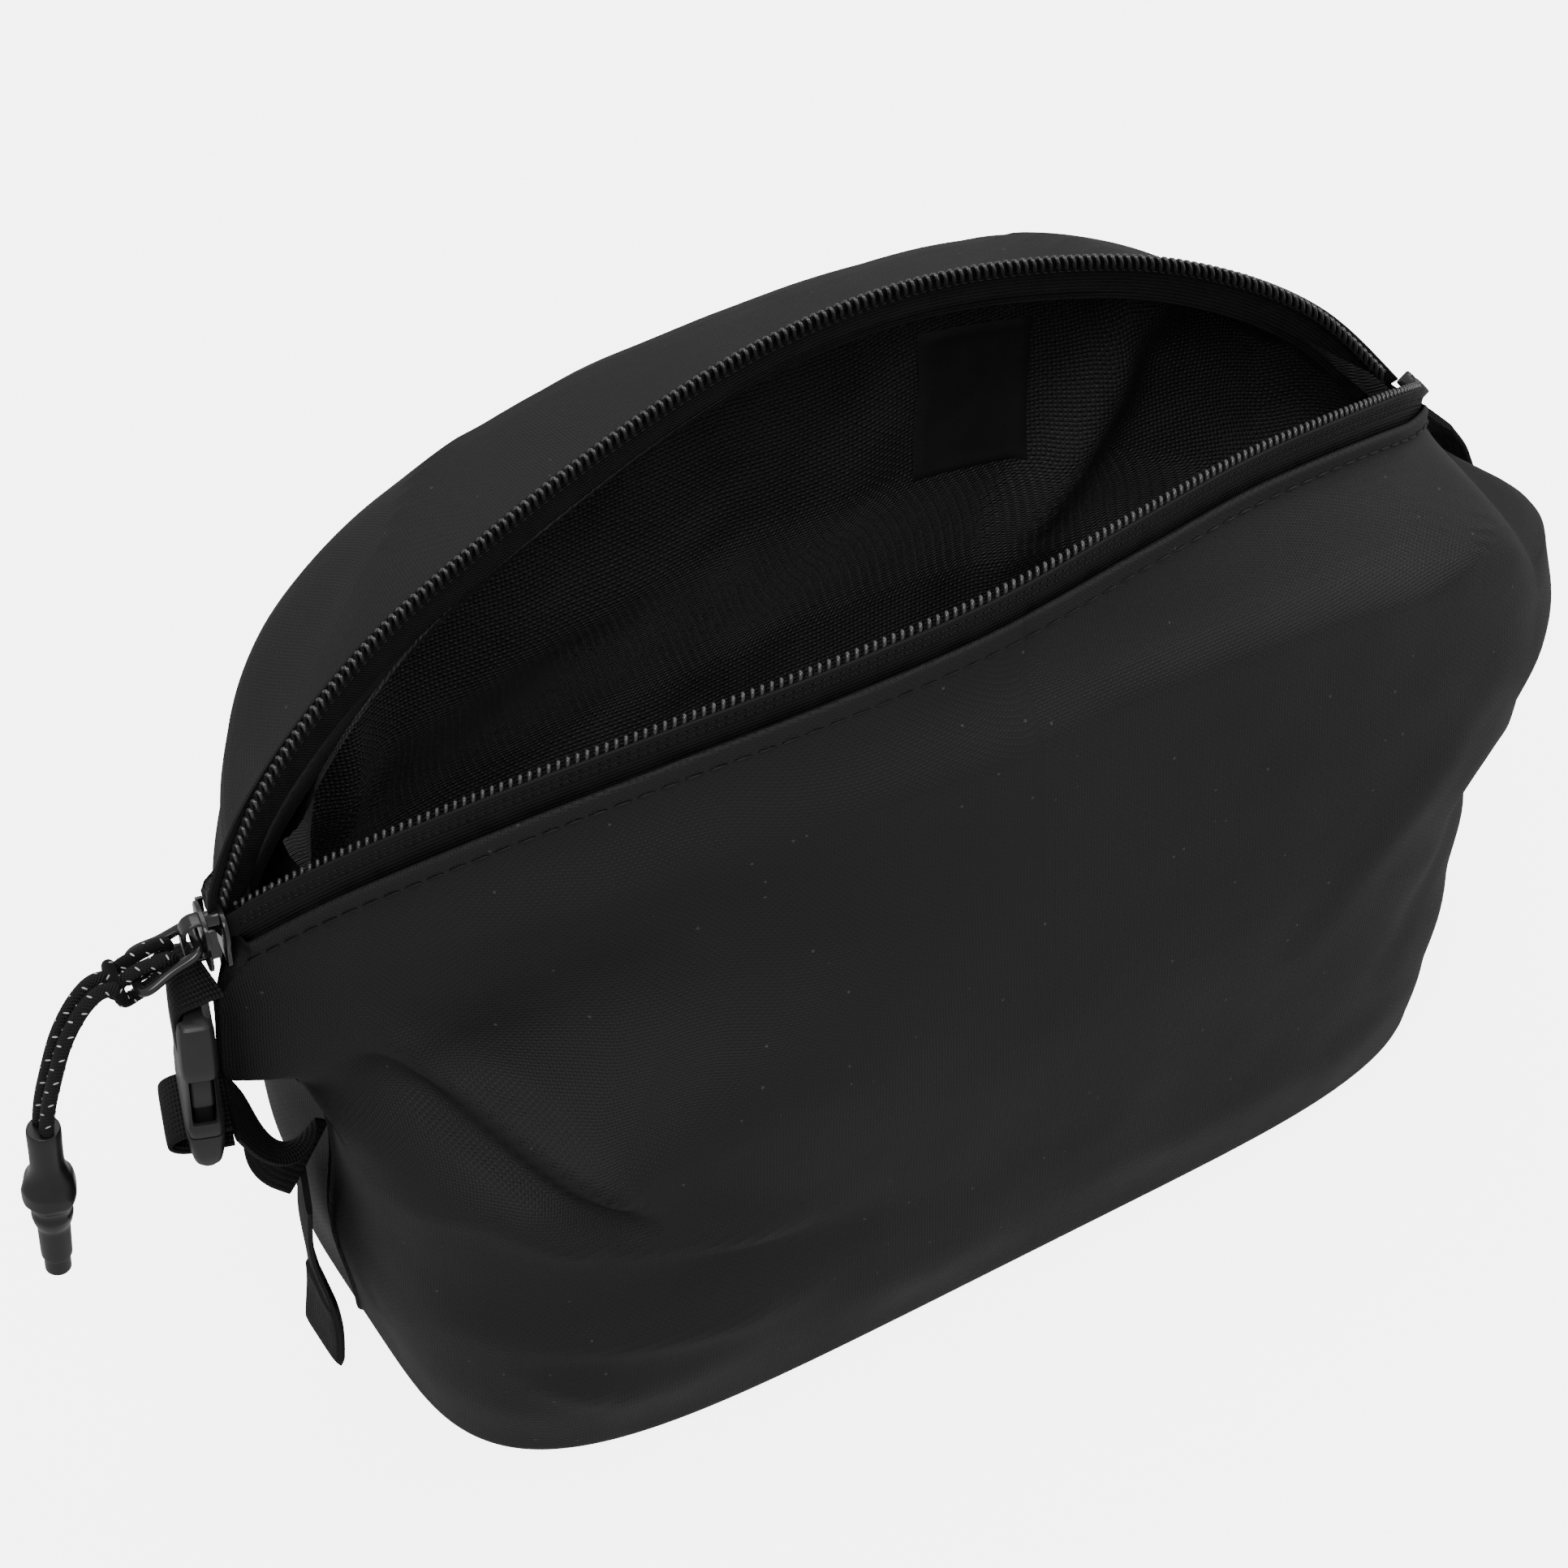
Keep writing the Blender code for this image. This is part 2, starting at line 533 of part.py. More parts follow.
build_shell()
build_zip()
bridge, out, slider_pivot = add_slider()
add_pull(bridge, out, slider_pivot)
left_tab = [(-127.9, 0, 105.1), (-129.9, 0, 105.0)]
right_tab = [(120.5, 0, 115.5), (124.5, 0, 109.5), (128.3, 0, 101.5)]
for word, bar_place, across, tilt, tab_route, seam in (
        ("left", (-131.4, 0, 99.5), (0.3, 0.95, 0), -1.5, left_tab, (-115.2, -0.5, 43)),
        ("right", (131.5, 0, 91.5), (-0.1, 1.0, 0), -2.0, right_tab, (117.0, 0, 43))):
    axes = buckle_axes(Vector(bar_place) * MM, Vector(across), Vector((tilt, 0, -36)))
    buckle_pivot = add_buckle(word, axes)
    add_webbing(word, axes, [Vector(p) * MM for p in tab_route], Vector(seam) * MM, buckle_pivot)
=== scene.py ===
"""The looks of the wash bag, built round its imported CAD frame. Metres, in the row's frame:
+X runs along the bag to its right end, -Y is the front, +Z is up."""

import math

import bmesh
import bpy
import numpy as np
from mathutils import Matrix, Vector, noise


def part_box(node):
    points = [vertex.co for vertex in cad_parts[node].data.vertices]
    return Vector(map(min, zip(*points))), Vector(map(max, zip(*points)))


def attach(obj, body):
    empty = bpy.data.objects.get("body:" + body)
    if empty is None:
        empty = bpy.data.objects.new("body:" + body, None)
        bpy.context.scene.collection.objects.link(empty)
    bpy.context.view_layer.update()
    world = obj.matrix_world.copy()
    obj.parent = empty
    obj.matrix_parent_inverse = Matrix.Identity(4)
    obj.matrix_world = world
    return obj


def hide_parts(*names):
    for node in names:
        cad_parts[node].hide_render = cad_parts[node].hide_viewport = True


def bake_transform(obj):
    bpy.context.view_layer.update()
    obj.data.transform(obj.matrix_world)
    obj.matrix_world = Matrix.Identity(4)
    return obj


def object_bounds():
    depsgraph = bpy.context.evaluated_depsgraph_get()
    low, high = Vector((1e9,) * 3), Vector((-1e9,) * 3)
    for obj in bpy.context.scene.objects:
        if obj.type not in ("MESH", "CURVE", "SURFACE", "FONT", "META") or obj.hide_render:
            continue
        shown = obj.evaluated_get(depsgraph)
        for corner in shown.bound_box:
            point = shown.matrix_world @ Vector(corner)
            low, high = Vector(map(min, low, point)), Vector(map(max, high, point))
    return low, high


MM = 0.001

# Shell: half sizes of the sections at heights from 0 (base) to 1 (top edge of the fabric)
LEFT_REACH = [(0.0, 109), (0.3, 113), (0.52, 113), (0.62, 116), (0.74, 128), (0.9, 127), (1.0, 122)]
BACK_LEFT_REACH = [(0.0, 109), (0.3, 113), (0.52, 113), (0.62, 114), (0.74, 119), (0.86, 116), (1.0, 113)]
BACK_WING = 5.0 * MM          # within it of the left seam, the back reaches as far as the front
RIGHT_REACH = [(0.0, 108), (0.28, 112), (0.42, 117), (0.62, 131), (0.75, 134), (0.9, 130), (1.0, 115)]
FRONT_DEPTH = [(0.0, 53.5), (0.14, 56), (0.45, 57), (0.85, 51), (1.0, 46)]
BACK_DEPTH = [(0.0, 50), (0.15, 53), (0.45, 55), (0.85, 55), (1.0, 53)]
# Powers that square off a section's ends, along the bag (corner) and across it (end)
LEFT_CORNER = [(0.0, 0.42), (0.5, 0.5), (0.75, 1.0), (1.0, 1.0)]
BACK_LEFT_CORNER = [(0.0, 0.42), (0.92, 0.5), (1.0, 1.0)]
RIGHT_CORNER = [(0.0, 0.4), (0.9, 0.5), (1.0, 1.0)]
FRONT_LEFT_END = [(0.0, 0.45), (0.5, 0.6), (0.72, 1.7), (1.0, 1.9)]
BACK_LEFT_END = [(0.0, 0.45), (0.5, 0.55), (0.92, 0.65), (1.0, 1.9)]
RIGHT_END = [(0.0, 0.45), (0.2, 0.5), (0.45, 0.68), (0.6, 0.68), (0.72, 0.55), (0.93, 0.5), (1.0, 1.9)]
LEFT_PINCH = (3.0 * MM, 0.42, 0.14, 12 * MM)      # its depth, height, tallness and width
# The right end seam, which its strap draws in between the two walls
RIGHT_SEAM_REACH = [(0.0, 108), (0.28, 109.5), (0.42, 111), (0.62, 119), (0.75, 121), (0.9, 119),
                    (1.0, 115)]
RIGHT_SEAM_WIDTH = 17 * MM
# Height at which each wall starts to lean in to its lip, at distances along the bag
FRONT_TURN = [(-30, 0.86), (80, 0.86), (110, 0.95)]
BACK_TURN = [(0, 0.92), (50, 0.935), (85, 0.98)]
SEAM_GAP = 0.3 * MM
WING_GAP = 1.0 * MM
FOOT_ROUND = 3.0 * MM         # radius of the shell's bottom edge
COLUMNS = 220
ROWS = 84

# The zip's two rows of teeth from the left end to the right one, in mm
FRONT_LIP = [(-126.4, 0.0, 114.4), (-107.5, -13.1, 131.3), (-85.2, -25.0, 144.4), (-59.7, -34.4, 153.2),
             (-32.3, -40.2, 158.1), (-3.9, -41.5, 159.8), (24.5, -38.0, 160.0), (52.3, -32.3, 157.3),
             (79.4, -26.3, 151.0), (103.0, -16.3, 139.0), (115.8, -1.3, 120.9)]
BACK_LIP = [(-126.6, 0.0, 113.5), (-114.1, 3.6, 136.0), (-90.5, 9.8, 151.7), (-63.7, 15.5, 159.9),
            (-36.2, 20.6, 165.7), (-8.1, 24.1, 169.3), (20.3, 25.3, 169.0), (48.4, 23.2, 164.4),
            (75.3, 18.7, 155.9), (98.8, 11.6, 141.7), (115.6, 1.3, 121.2)]
# From the top of the teeth down to the fold of the shell fabric, which rises round the right end
TAPE_SHOWN = [(95, 6.5), (116, 1.5)]
TAPE_WIDTH = 9.0 * MM
TAPE = 0.5 * MM
TOOTH_PITCH = 1.6 * MM
HEM = 0.7 * MM                # radius of the fold along the fabric's top edge
STITCH_PITCH = 4.0 * MM

CORD = 2.5 * MM
WEB_WIDTH = 15.0 * MM
WEB = 1.4 * MM
SOCKET_LENGTH = 26.0 * MM
SOCKET_TOP = 3.4 * MM         # above the bar that the tab goes round
FOOT = SOCKET_TOP - SOCKET_LENGTH - 0.3 * MM

CAMERA_PLACE = Vector((-0.2611, -0.3984, 0.5568))
CAMERA_TARGET = Vector((-0.018, 0, 0.09))
LENS = 86.3                   # mm, on a 36 mm sensor


# --- numbers and curves ---
def smooth(points, at):
    """A smooth value through (position, value) points, held level outside them."""
    if at <= points[0][0]:
        return points[0][1]
    for (a, low), (b, high) in zip(points, points[1:]):
        if at <= b:
            f = (at - a) / (b - a)
            return low + (high - low) * f * f * (3 - 2 * f)
    return points[-1][1]


def smooth_path(points, count):
    """Evenly numbered points on a Catmull-Rom curve through a few chosen points."""
    points = [Vector(p) for p in points]
    ends = [points[0] * 2 - points[1], *points, points[-1] * 2 - points[-2]]
    path = []
    for i in range(count):
        at = i / (count - 1) * (len(points) - 1)
        k = min(int(at), len(points) - 2)
        f = at - k
        a, b, c, d = ends[k:k + 4]
        path.append(0.5 * (2 * b + (c - a) * f + (2 * a - 5 * b + 4 * c - d) * f ** 2
                           + (3 * b - 3 * c + d - a) * f ** 3))
    return path


def evenly(path, count):
    """The same curve with points an equal distance apart."""
    p = np.array([tuple(v) for v in path])
    run = np.concatenate([[0], np.cumsum(np.linalg.norm(np.diff(p, axis=0), axis=1))])
    at = np.linspace(0, run[-1], count)
    return [Vector(v) for v in np.stack([np.interp(at, run, p[:, k]) for k in range(3)], axis=1)]


def length_of(path):
    return sum((b - a).length for a, b in zip(path, path[1:]))


def aheads(path):
    """The direction of travel at each point of a path."""
    last = len(path) - 1
    return [(path[min(i + 1, last)] - path[max(i - 1, 0)]).normalized() for i in range(last + 1)]


LIPS = {-1: evenly(smooth_path([Vector(p) * MM for p in FRONT_LIP], 400), 1200),
        1: evenly(smooth_path([Vector(p) * MM for p in BACK_LIP], 400), 1200)}
LIP_TABLES = {side: np.array([tuple(p) for p in lip]) for side, lip in LIPS.items()}


def lip_over(x, side):
    """The point of a lip's top line at a given x."""
    table = LIP_TABLES[side]
    return Vector(np.interp(x, table[:, 0], table[:, k]) for k in range(3))


# --- meshes ---
def link(name, mesh, material):
    thing = bpy.data.objects.new(name, mesh)
    bpy.context.scene.collection.objects.link(thing)
    mesh.materials.append(material)
    return thing


def grid_piece(name, rows, material, ring=False, caps=False, flip=False):
    """A smooth mesh through rows of points, whose UVs are distances in metres. A ring joins each
    row's last point to its first."""
    if ring:
        rows = [list(row) + [row[0]] for row in rows]
    p = np.array([[tuple(v) for v in row] for row in rows])
    count, wide = p.shape[:2]
    across = np.cumsum(np.linalg.norm(np.diff(p, axis=1), axis=2), axis=1)
    along = np.cumsum(np.linalg.norm(np.diff(p, axis=0), axis=2), axis=0)
    u = np.concatenate([np.zeros((count, 1)), across], axis=1)
    u -= u[:, [wide // 2]]
    v = np.concatenate([np.zeros((1, wide)), along])
    bm = bmesh.new()
    layer = bm.loops.layers.uv.new("UVMap")
    shown = wide - 1 if ring else wide
    verts = [[bm.verts.new(p[j, i]) for i in range(shown)] for j in range(count)]
    for j in range(count - 1):
        for i in range(wide - 1):
            corners = [(j, i), (j, i + 1), (j + 1, i + 1), (j + 1, i)]
            if flip:
                corners.reverse()
            face = bm.faces.new([verts[a][b % shown] for a, b in corners])
            face.smooth = True
            for loop, (a, b) in zip(face.loops, corners):
                loop[layer].uv = (u[a, b], v[a, b])
    if caps:
        for row in (verts[0], verts[-1]):
            bm.faces.new(row)
        bmesh.ops.recalc_face_normals(bm, faces=bm.faces)
    mesh = bpy.data.meshes.new(name)
    bm.to_mesh(mesh)
    bm.free()
    return link(name, mesh, material)


def sweep(name, path, widths, section, material, shares=None):
    """A closed section, in (across, out) pairs, carried along a path. widths are the directions
    that its first number is measured along, and shares scale that number along the path."""
    rows = []
    for p, ahead, wide, share in zip(path, aheads(path), widths, shares or [1.0] * len(path)):
        across = (wide - wide.dot(ahead) * ahead).normalized()
        out = ahead.cross(across)
        rows.append([p + across * a * share + out * b for a, b in section])
    return grid_piece(name, rows, material, ring=True, caps=True)


def carried(path, first):
    """Width directions for a tube, which turn no more than the path does."""
    widths = []
    wide = Vector(first)
    for ahead in aheads(path):
        wide = (wide - wide.dot(ahead) * ahead).normalized()
        widths.append(wide)
    return widths


def circle(radius, count):
    return [(radius * math.cos(2 * math.pi * k / count), radius * math.sin(2 * math.pi * k / count))
            for k in range(count)]


def rounded(half_width, half_thick, power, count=28):
    """A rounded rectangle as a superellipse: power 2 is an ellipse, and more is boxier."""
    outline = []
    for k in range(count):
        c, s = math.cos(2 * math.pi * (k + 0.5) / count), math.sin(2 * math.pi * (k + 0.5) / count)
        outline.append((math.copysign(abs(c) ** (2 / power), c) * half_width,
                        math.copysign(abs(s) ** (2 / power), s) * half_thick))
    return outline


def loft(name, levels, place, material, count=40):
    """A closed form through (height, half width, half thickness, power) levels along Z."""
    rows = []
    for height, half_width, half_thick, power in levels:
        rows.append([place @ Vector((a, b, height))
                     for a, b in rounded(half_width, half_thick, power, count)])
    return grid_piece(name, rows, material, ring=True, caps=True)


def beads(name, places, size, material, rings=5, around=8):
    """Many small rounded threads in one mesh. Each place is (centre, along, up); size is
    (length, width, height)."""
    bm = bmesh.new()
    shape = [(math.cos(math.pi * k / rings), math.sin(math.pi * k / rings)) for k in range(rings + 1)]
    for centre, along, up in places:
        side = up.cross(along).normalized()
        loops = []
        for reach, girth in shape:
            girth = max(girth, 0.05)
            loops.append([bm.verts.new(centre + along * reach * size[0] / 2
                                       + side * girth * math.cos(a) * size[1] / 2
                                       + up * girth * math.sin(a) * size[2] / 2)
                          for a in (2 * math.pi * k / around for k in range(around))])
        for low, high in zip(loops, loops[1:]):
            for k in range(around):
                after = (k + 1) % around
                bm.faces.new((low[k], high[k], high[after], low[after])).smooth = True
        bm.faces.new(loops[0])
        bm.faces.new(reversed(loops[-1]))
    bmesh.ops.recalc_face_normals(bm, faces=bm.faces)
    mesh = bpy.data.meshes.new(name)
    bm.to_mesh(mesh)
    bm.free()
    return link(name, mesh, material)


def bake(thing):
    """Applies a piece's modifiers to its mesh."""
    graph = bpy.context.evaluated_depsgraph_get()
    mesh = bpy.data.meshes.new_from_object(thing.evaluated_get(graph), preserve_all_data_layers=True,
                                           depsgraph=graph)
    thing.modifiers.clear()
    thing.data = mesh
    return thing


def carve(thing, others, operation="DIFFERENCE", edge=0.0):
    """Cuts or joins other forms, then rounds the new edges."""
    for other in others:
        step = thing.modifiers.new(other.name, "BOOLEAN")
        step.operation = operation
        step.object = other
    if edge:
        bevel = thing.modifiers.new("Edges", "BEVEL")
        bevel.width = edge
        bevel.segments = 2
        bevel.limit_method = "ANGLE"
        bevel.angle_limit = math.radians(35)
    bpy.context.view_layer.update()
    bake(thing)
    for other in others:
        bpy.data.objects.remove(other, do_unlink=True)
    thing.data.shade_smooth()
    thing.data.set_sharp_from_angle(angle=math.radians(38))
    return thing


def block(size, at, place, material, power=10):
    """A box with rounded corners, centred at a point of a local frame."""
    x, y, z = (s / 2 for s in size)
    levels = [(-z, x, y, power), (z, x, y, power)]
    return loft("block", levels, place @ Matrix.Translation(at), material)


def stand_in(piece, body, node):
    """Says which body a piece rides, which CAD node it replaces."""
    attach(piece, body)
    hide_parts(node)


# --- materials ---
def add_node(tree, kind, settings=None, **inputs):
    node = tree.nodes.new("ShaderNode" + kind)
    for key, value in (settings or {}).items():
        setattr(node, key, value)
    for key, value in inputs.items():
        numbered = key[0] == "n" and key[1:].isdigit()
        socket = node.inputs[int(key[1:]) if numbered else key.replace("_", " ")]
        if isinstance(value, bpy.types.NodeSocket):
            tree.links.new(value, socket)
        else:
            socket.default_value = value
    return node


def calc(tree, operation, a, b=0.0):
    return add_node(tree, "Math", {"operation": operation}, n0=a, n1=b).outputs[0]


def new_material(name, colour, roughness, specular=0.5):
    material = bpy.data.materials.new(name)
    material.use_nodes = True
    shader = material.node_tree.nodes["Principled BSDF"]
    shader.inputs["Base Color"].default_value = (*colour, 1.0)
    shader.inputs["Roughness"].default_value = roughness
    shader.inputs["Specular IOR Level"].default_value = specular
    return material, material.node_tree, shader


def vary(tree, shader, colour, spread, size, roughness, rough_spread, detail=4.0):
    """Lets the colour and the roughness wander over patches of a given size. Returns the pattern."""
    place = add_node(tree, "TexCoord").outputs["Object"]
    patches = add_node(tree, "TexNoise", Vector=place, Scale=1 / size, Detail=detail).outputs["Fac"]
    low, high = ([c * f for c in colour] for f in (1 - spread, 1 + spread))
    tint = add_node(tree, "MapRange", {"data_type": "FLOAT_VECTOR"}, Vector=patches)
    limits = {"From Min": (0.3,) * 3, "From Max": (0.7,) * 3, "To Min": low, "To Max": high}
    for key, value in limits.items():
        vector_socket(tint, key).default_value = value
    tree.links.new(tint.outputs["Vector"], shader.inputs["Base Color"])
    rough = add_node(tree, "MapRange", Value=patches, From_Min=0.3, From_Max=0.7,
                     To_Min=roughness - rough_spread, To_Max=roughness + rough_spread)
    tree.links.new(rough.outputs["Result"], shader.inputs["Roughness"])
    return place, tint


def vector_socket(node, name):
    return [s for s in node.inputs if s.name == name and s.type == "VECTOR"][0]


def set_bump(tree, shader, height, strength, distance):
    bump = add_node(tree, "Bump", Height=height, Strength=strength, Distance=distance)
    tree.links.new(bump.outputs["Normal"], shader.inputs["Normal"])


def wave(tree, distance, pitch):
    """A sine along a distance in metres, with a given pitch."""
    return calc(tree, "SINE", calc(tree, "MULTIPLY", distance, 2 * math.pi / pitch))


def add_specks(tree, shader, place, tint, size, share, brightness):
    """Sparse pale dots of dust on the colour."""
    cells = add_node(tree, "TexVoronoi", Vector=place, Scale=1 / size)
    dots = calc(tree, "LESS_THAN", cells.outputs["Distance"], 0.13)
    chosen = add_node(tree, "SeparateXYZ", Vector=cells.outputs["Color"]).outputs[0]
    shown = calc(tree, "MULTIPLY", dots, calc(tree, "GREATER_THAN", chosen, 1 - share))
    lit = add_node(tree, "Mix", {"data_type": "RGBA"}, n0=shown)
    colour_a, colour_b = (x for x in lit.inputs if x.type == "RGBA")
    tree.links.new(tint.outputs["Vector"], colour_a)
    colour_b.default_value = (brightness, brightness, brightness, 1)
    mixed = next(x for x in lit.outputs if x.type == "RGBA")
    tree.links.new(mixed, shader.inputs["Base Color"])


def fabric_material(name, colour, pitch, depth, roughness, spread=0.12, specks=0.0, specular=0.4):
    """A plain weave on UVs in metres, over patches of slightly different colour and sheen."""
    material, tree, shader = new_material(name, colour, roughness, specular)
    place, tint = vary(tree, shader, colour, spread, 18 * MM, roughness, 0.06)
    if specks:
        add_specks(tree, shader, place, tint, 2.2 * MM, specks, 0.05)
    along = add_node(tree, "SeparateXYZ", Vector=add_node(tree, "TexCoord").outputs["UV"])
    warp = wave(tree, along.outputs[0], 2 * pitch)
    weft = wave(tree, along.outputs[1], 2 * pitch)
    weave = calc(tree, "ABSOLUTE", calc(tree, "MULTIPLY", warp, weft))
    over = calc(tree, "MULTIPLY", warp, weft)
    fuzz = add_node(tree, "TexNoise", Vector=place, Scale=1 / (pitch * 1.6), Detail=3.0).outputs["Fac"]
    height = calc(tree, "ADD", calc(tree, "MULTIPLY", over, 0.35), calc(tree, "ADD", weave, fuzz))
    set_bump(tree, shader, height, 1.0, depth)
    return material


def ribbed_material(name, colour, along_pitch, across_pitch, depth, roughness, slant=0.0):
    """Rows of short raised threads, as in webbing, tape or braid, on UVs in metres."""
    material, tree, shader = new_material(name, colour, roughness, specular=0.28)
    place = vary(tree, shader, colour, 0.2, 4 * MM, roughness, 0.08)[0]
    along = add_node(tree, "SeparateXYZ", Vector=add_node(tree, "TexCoord").outputs["UV"])
    across, run = along.outputs[0], along.outputs[1]
    leaning = calc(tree, "ADD", run, calc(tree, "MULTIPLY", across, slant))
    other = calc(tree, "SUBTRACT", across, calc(tree, "MULTIPLY", run, slant))
    ribs = calc(tree, "ABSOLUTE", wave(tree, leaning, 2 * along_pitch))
    rows = calc(tree, "ABSOLUTE", wave(tree, other, 2 * across_pitch))
    fuzz = add_node(tree, "TexNoise", Vector=place, Scale=1 / (0.35 * MM), Detail=2.0).outputs["Fac"]
    height = calc(tree, "ADD", calc(tree, "MULTIPLY", ribs, rows), calc(tree, "MULTIPLY", fuzz, 0.5))
    set_bump(tree, shader, height, 1.0, depth)
    return material


def hard_material(name, colour, roughness, grain, depth, specular=0.5, coat=0.0):
    """Moulded plastic, rubber or enamelled metal with a fine grain."""
    material, tree, shader = new_material(name, colour, roughness, specular)
    shader.inputs["Coat Weight"].default_value = coat
    place = vary(tree, shader, colour, 0.15, 5 * MM, roughness, 0.05)[0]
    speckle = add_node(tree, "TexNoise", Vector=place, Scale=1 / grain, Detail=3.0).outputs["Fac"]
    set_bump(tree, shader, speckle, 0.6, depth)
    return material


# --- the shell ---
def column(f):
    """Where a column of the shell stands, from f in 0 to 1: closer together at its middle and ends."""
    half = 2 * f - 1
    return 0.5 + math.copysign(0.5 * math.sin(math.pi / 2 * half) ** 2, half)


def wall_point(side, s, v, inset=0.0):
    """A point of the shell: s runs from the left end seam to the right one, v from base to top."""
    angle = math.pi * (1 - s)
    along, out = math.cos(angle), max(math.sin(angle), 0.0)
    if along < 0:
        reach, corner, end = LEFT_REACH, LEFT_CORNER, FRONT_LEFT_END
        if side > 0:
            corner, end = BACK_LEFT_CORNER, BACK_LEFT_END
    else:
        reach, corner, end = RIGHT_REACH, RIGHT_CORNER, RIGHT_END
    depth = smooth(FRONT_DEPTH if side < 0 else BACK_DEPTH, v) * MM
    flat = smooth([(0.55, 0.0), (0.75, 1.0)], v) * smooth([(0.3, 0.0), (0.8, 1.0)], -along)
    y = depth * out ** smooth(end, v)
    far = smooth(reach, v) * MM
    if along > 0:
        far += (smooth(RIGHT_SEAM_REACH, v) * MM - far) * math.exp(-((y / RIGHT_SEAM_WIDTH) ** 2))
    lip = lip_over(math.copysign(far * abs(along) ** smooth(corner, v), along), side)
    turn = smooth(FRONT_TURN, lip.x / MM) if side < 0 else smooth(BACK_TURN, abs(lip.x) / MM)
    outside_tape = abs(lip.y) + 2.0 * MM
    y += (outside_tape - y) * smooth([(turn, 0.0), (1.0, 1.0)], v)
    if along > 0:
        y = max(y, outside_tape * smooth([(0.75, 0.0), (0.88, 1.0)], v))
    y = max(y - inset, 0.0) + SEAM_GAP + (WING_GAP - SEAM_GAP) * flat
    full = far - inset
    if along < 0 < side:
        wing = math.exp(-((y / BACK_WING) ** 2))
        full = (smooth(BACK_LEFT_REACH, v) * MM - inset) * (1 - wing) + full * wing
    x = math.copysign(full * abs(along) ** smooth(corner, v), along)
    if along < 0:
        depth, height, tall, wide = LEFT_PINCH
        x += depth * math.exp(-((y / wide) ** 2) - ((v - height) / tall) ** 2)
    return Vector((x, side * y, v * (lip.z - smooth(TAPE_SHOWN, lip.x / MM) * MM)))


def fold_height(folds, x, z):
    """How far the folds push the fabric out at a point of a wall. A fold is (x0, z0, x1, z1, width,
    height) in mm: a ridge, or a valley where the height is negative."""
    total = 0.0
    for x0, z0, x1, z1, width, height in folds:
        run = Vector((x1 - x0, z1 - z0)) * MM
        rel = Vector((x - x0 * MM, z - z0 * MM))
        f = rel.dot(run) / run.length_squared
        beside = (rel.x * run.y - rel.y * run.x) / run.length
        past = max(0.0, -f, f - 1) * run.length
        taper = math.sin(math.pi * min(max(f, 0.04), 0.96)) ** 0.5
        total += height * MM * taper * math.exp(-((beside / (width * MM)) ** 2)
                                                - (past / (1.5 * width * MM)) ** 2)
    return total


def crumple(p, side):
    """The unevenness of soft fabric, in metres."""
    broad = noise.noise(Vector((p.x * 22, p.z * 30 + 7 * side, p.y * 18)))
    fine = noise.noise(Vector((p.x * 60 + 3, p.z * 75, 5 * side)))
    return (1.3 * broad + 0.35 * fine) * MM


FRONT_FOLDS = [
    (-108, 96, -78, 66, 3.6, 4.0),
    (-106, 86, -74, 58, 3.0, -3.6),
    (-84, 60, -44, 46, 4.5, 2.6),
    (-100, 66, -84, 56, 4.5, 2.2),
    (-76, 44, -30, 38, 6.0, -1.8),
    (-100, 36, -50, 28, 5.0, 2.4),
    (-98, 26, -84, 18, 4.0, 1.4),
    (-104, 92, -60, 112, 8.0, -1.6),
    (60, 60, 100, 92, 7.0, 1.2),
    (84, 40, 112, 66, 6.0, -1.4),
    (96, 20, 112, 60, 5.0, 1.0),
]
BACK_FOLDS = [
    (-104, 100, -60, 130, 7.0, -1.2),
    (-90, 60, -40, 40, 8.0, 1.4),
    (-30, 120, 40, 132, 8.0, 1.0),
    (50, 126, 100, 104, 6.0, -1.6),
    (60, 70, 104, 90, 7.0, 1.4),
]


def wall_grid(side, insets, heights, columns=COLUMNS, folds=(), rough=1.0):
    """Rows of points on the shell at given heights (0 to 1), with its folds."""
    grid = np.array([[tuple(wall_point(side, column(i / columns), v, inset)) for i in range(columns + 1)]
                     for v, inset in zip(heights, insets)])
    along = np.gradient(grid, axis=1)
    up = np.gradient(grid, axis=0)
    normal = np.cross(along, up) * -side
    normal /= np.maximum(np.linalg.norm(normal, axis=2, keepdims=True), 1e-12)
    rows = []
    for j, v in enumerate(heights):
        row = []
        for i in range(columns + 1):
            p = Vector(grid[j, i])
            s = column(i / columns)
            calm = smooth([(0.0, 0.0), (0.05, 1.0), (0.95, 1.0), (1.0, 0.0)], s)
            calm *= smooth([(0.0, 0.0), (0.12, 1.0), (0.9, 1.0), (0.99, 0.25)], v)
            push = (fold_height(folds, p.x, p.z) + rough * crumple(p, side)) * calm
            row.append(p + Vector(normal[j, i]) * push)
        rows.append(row)
    return rows


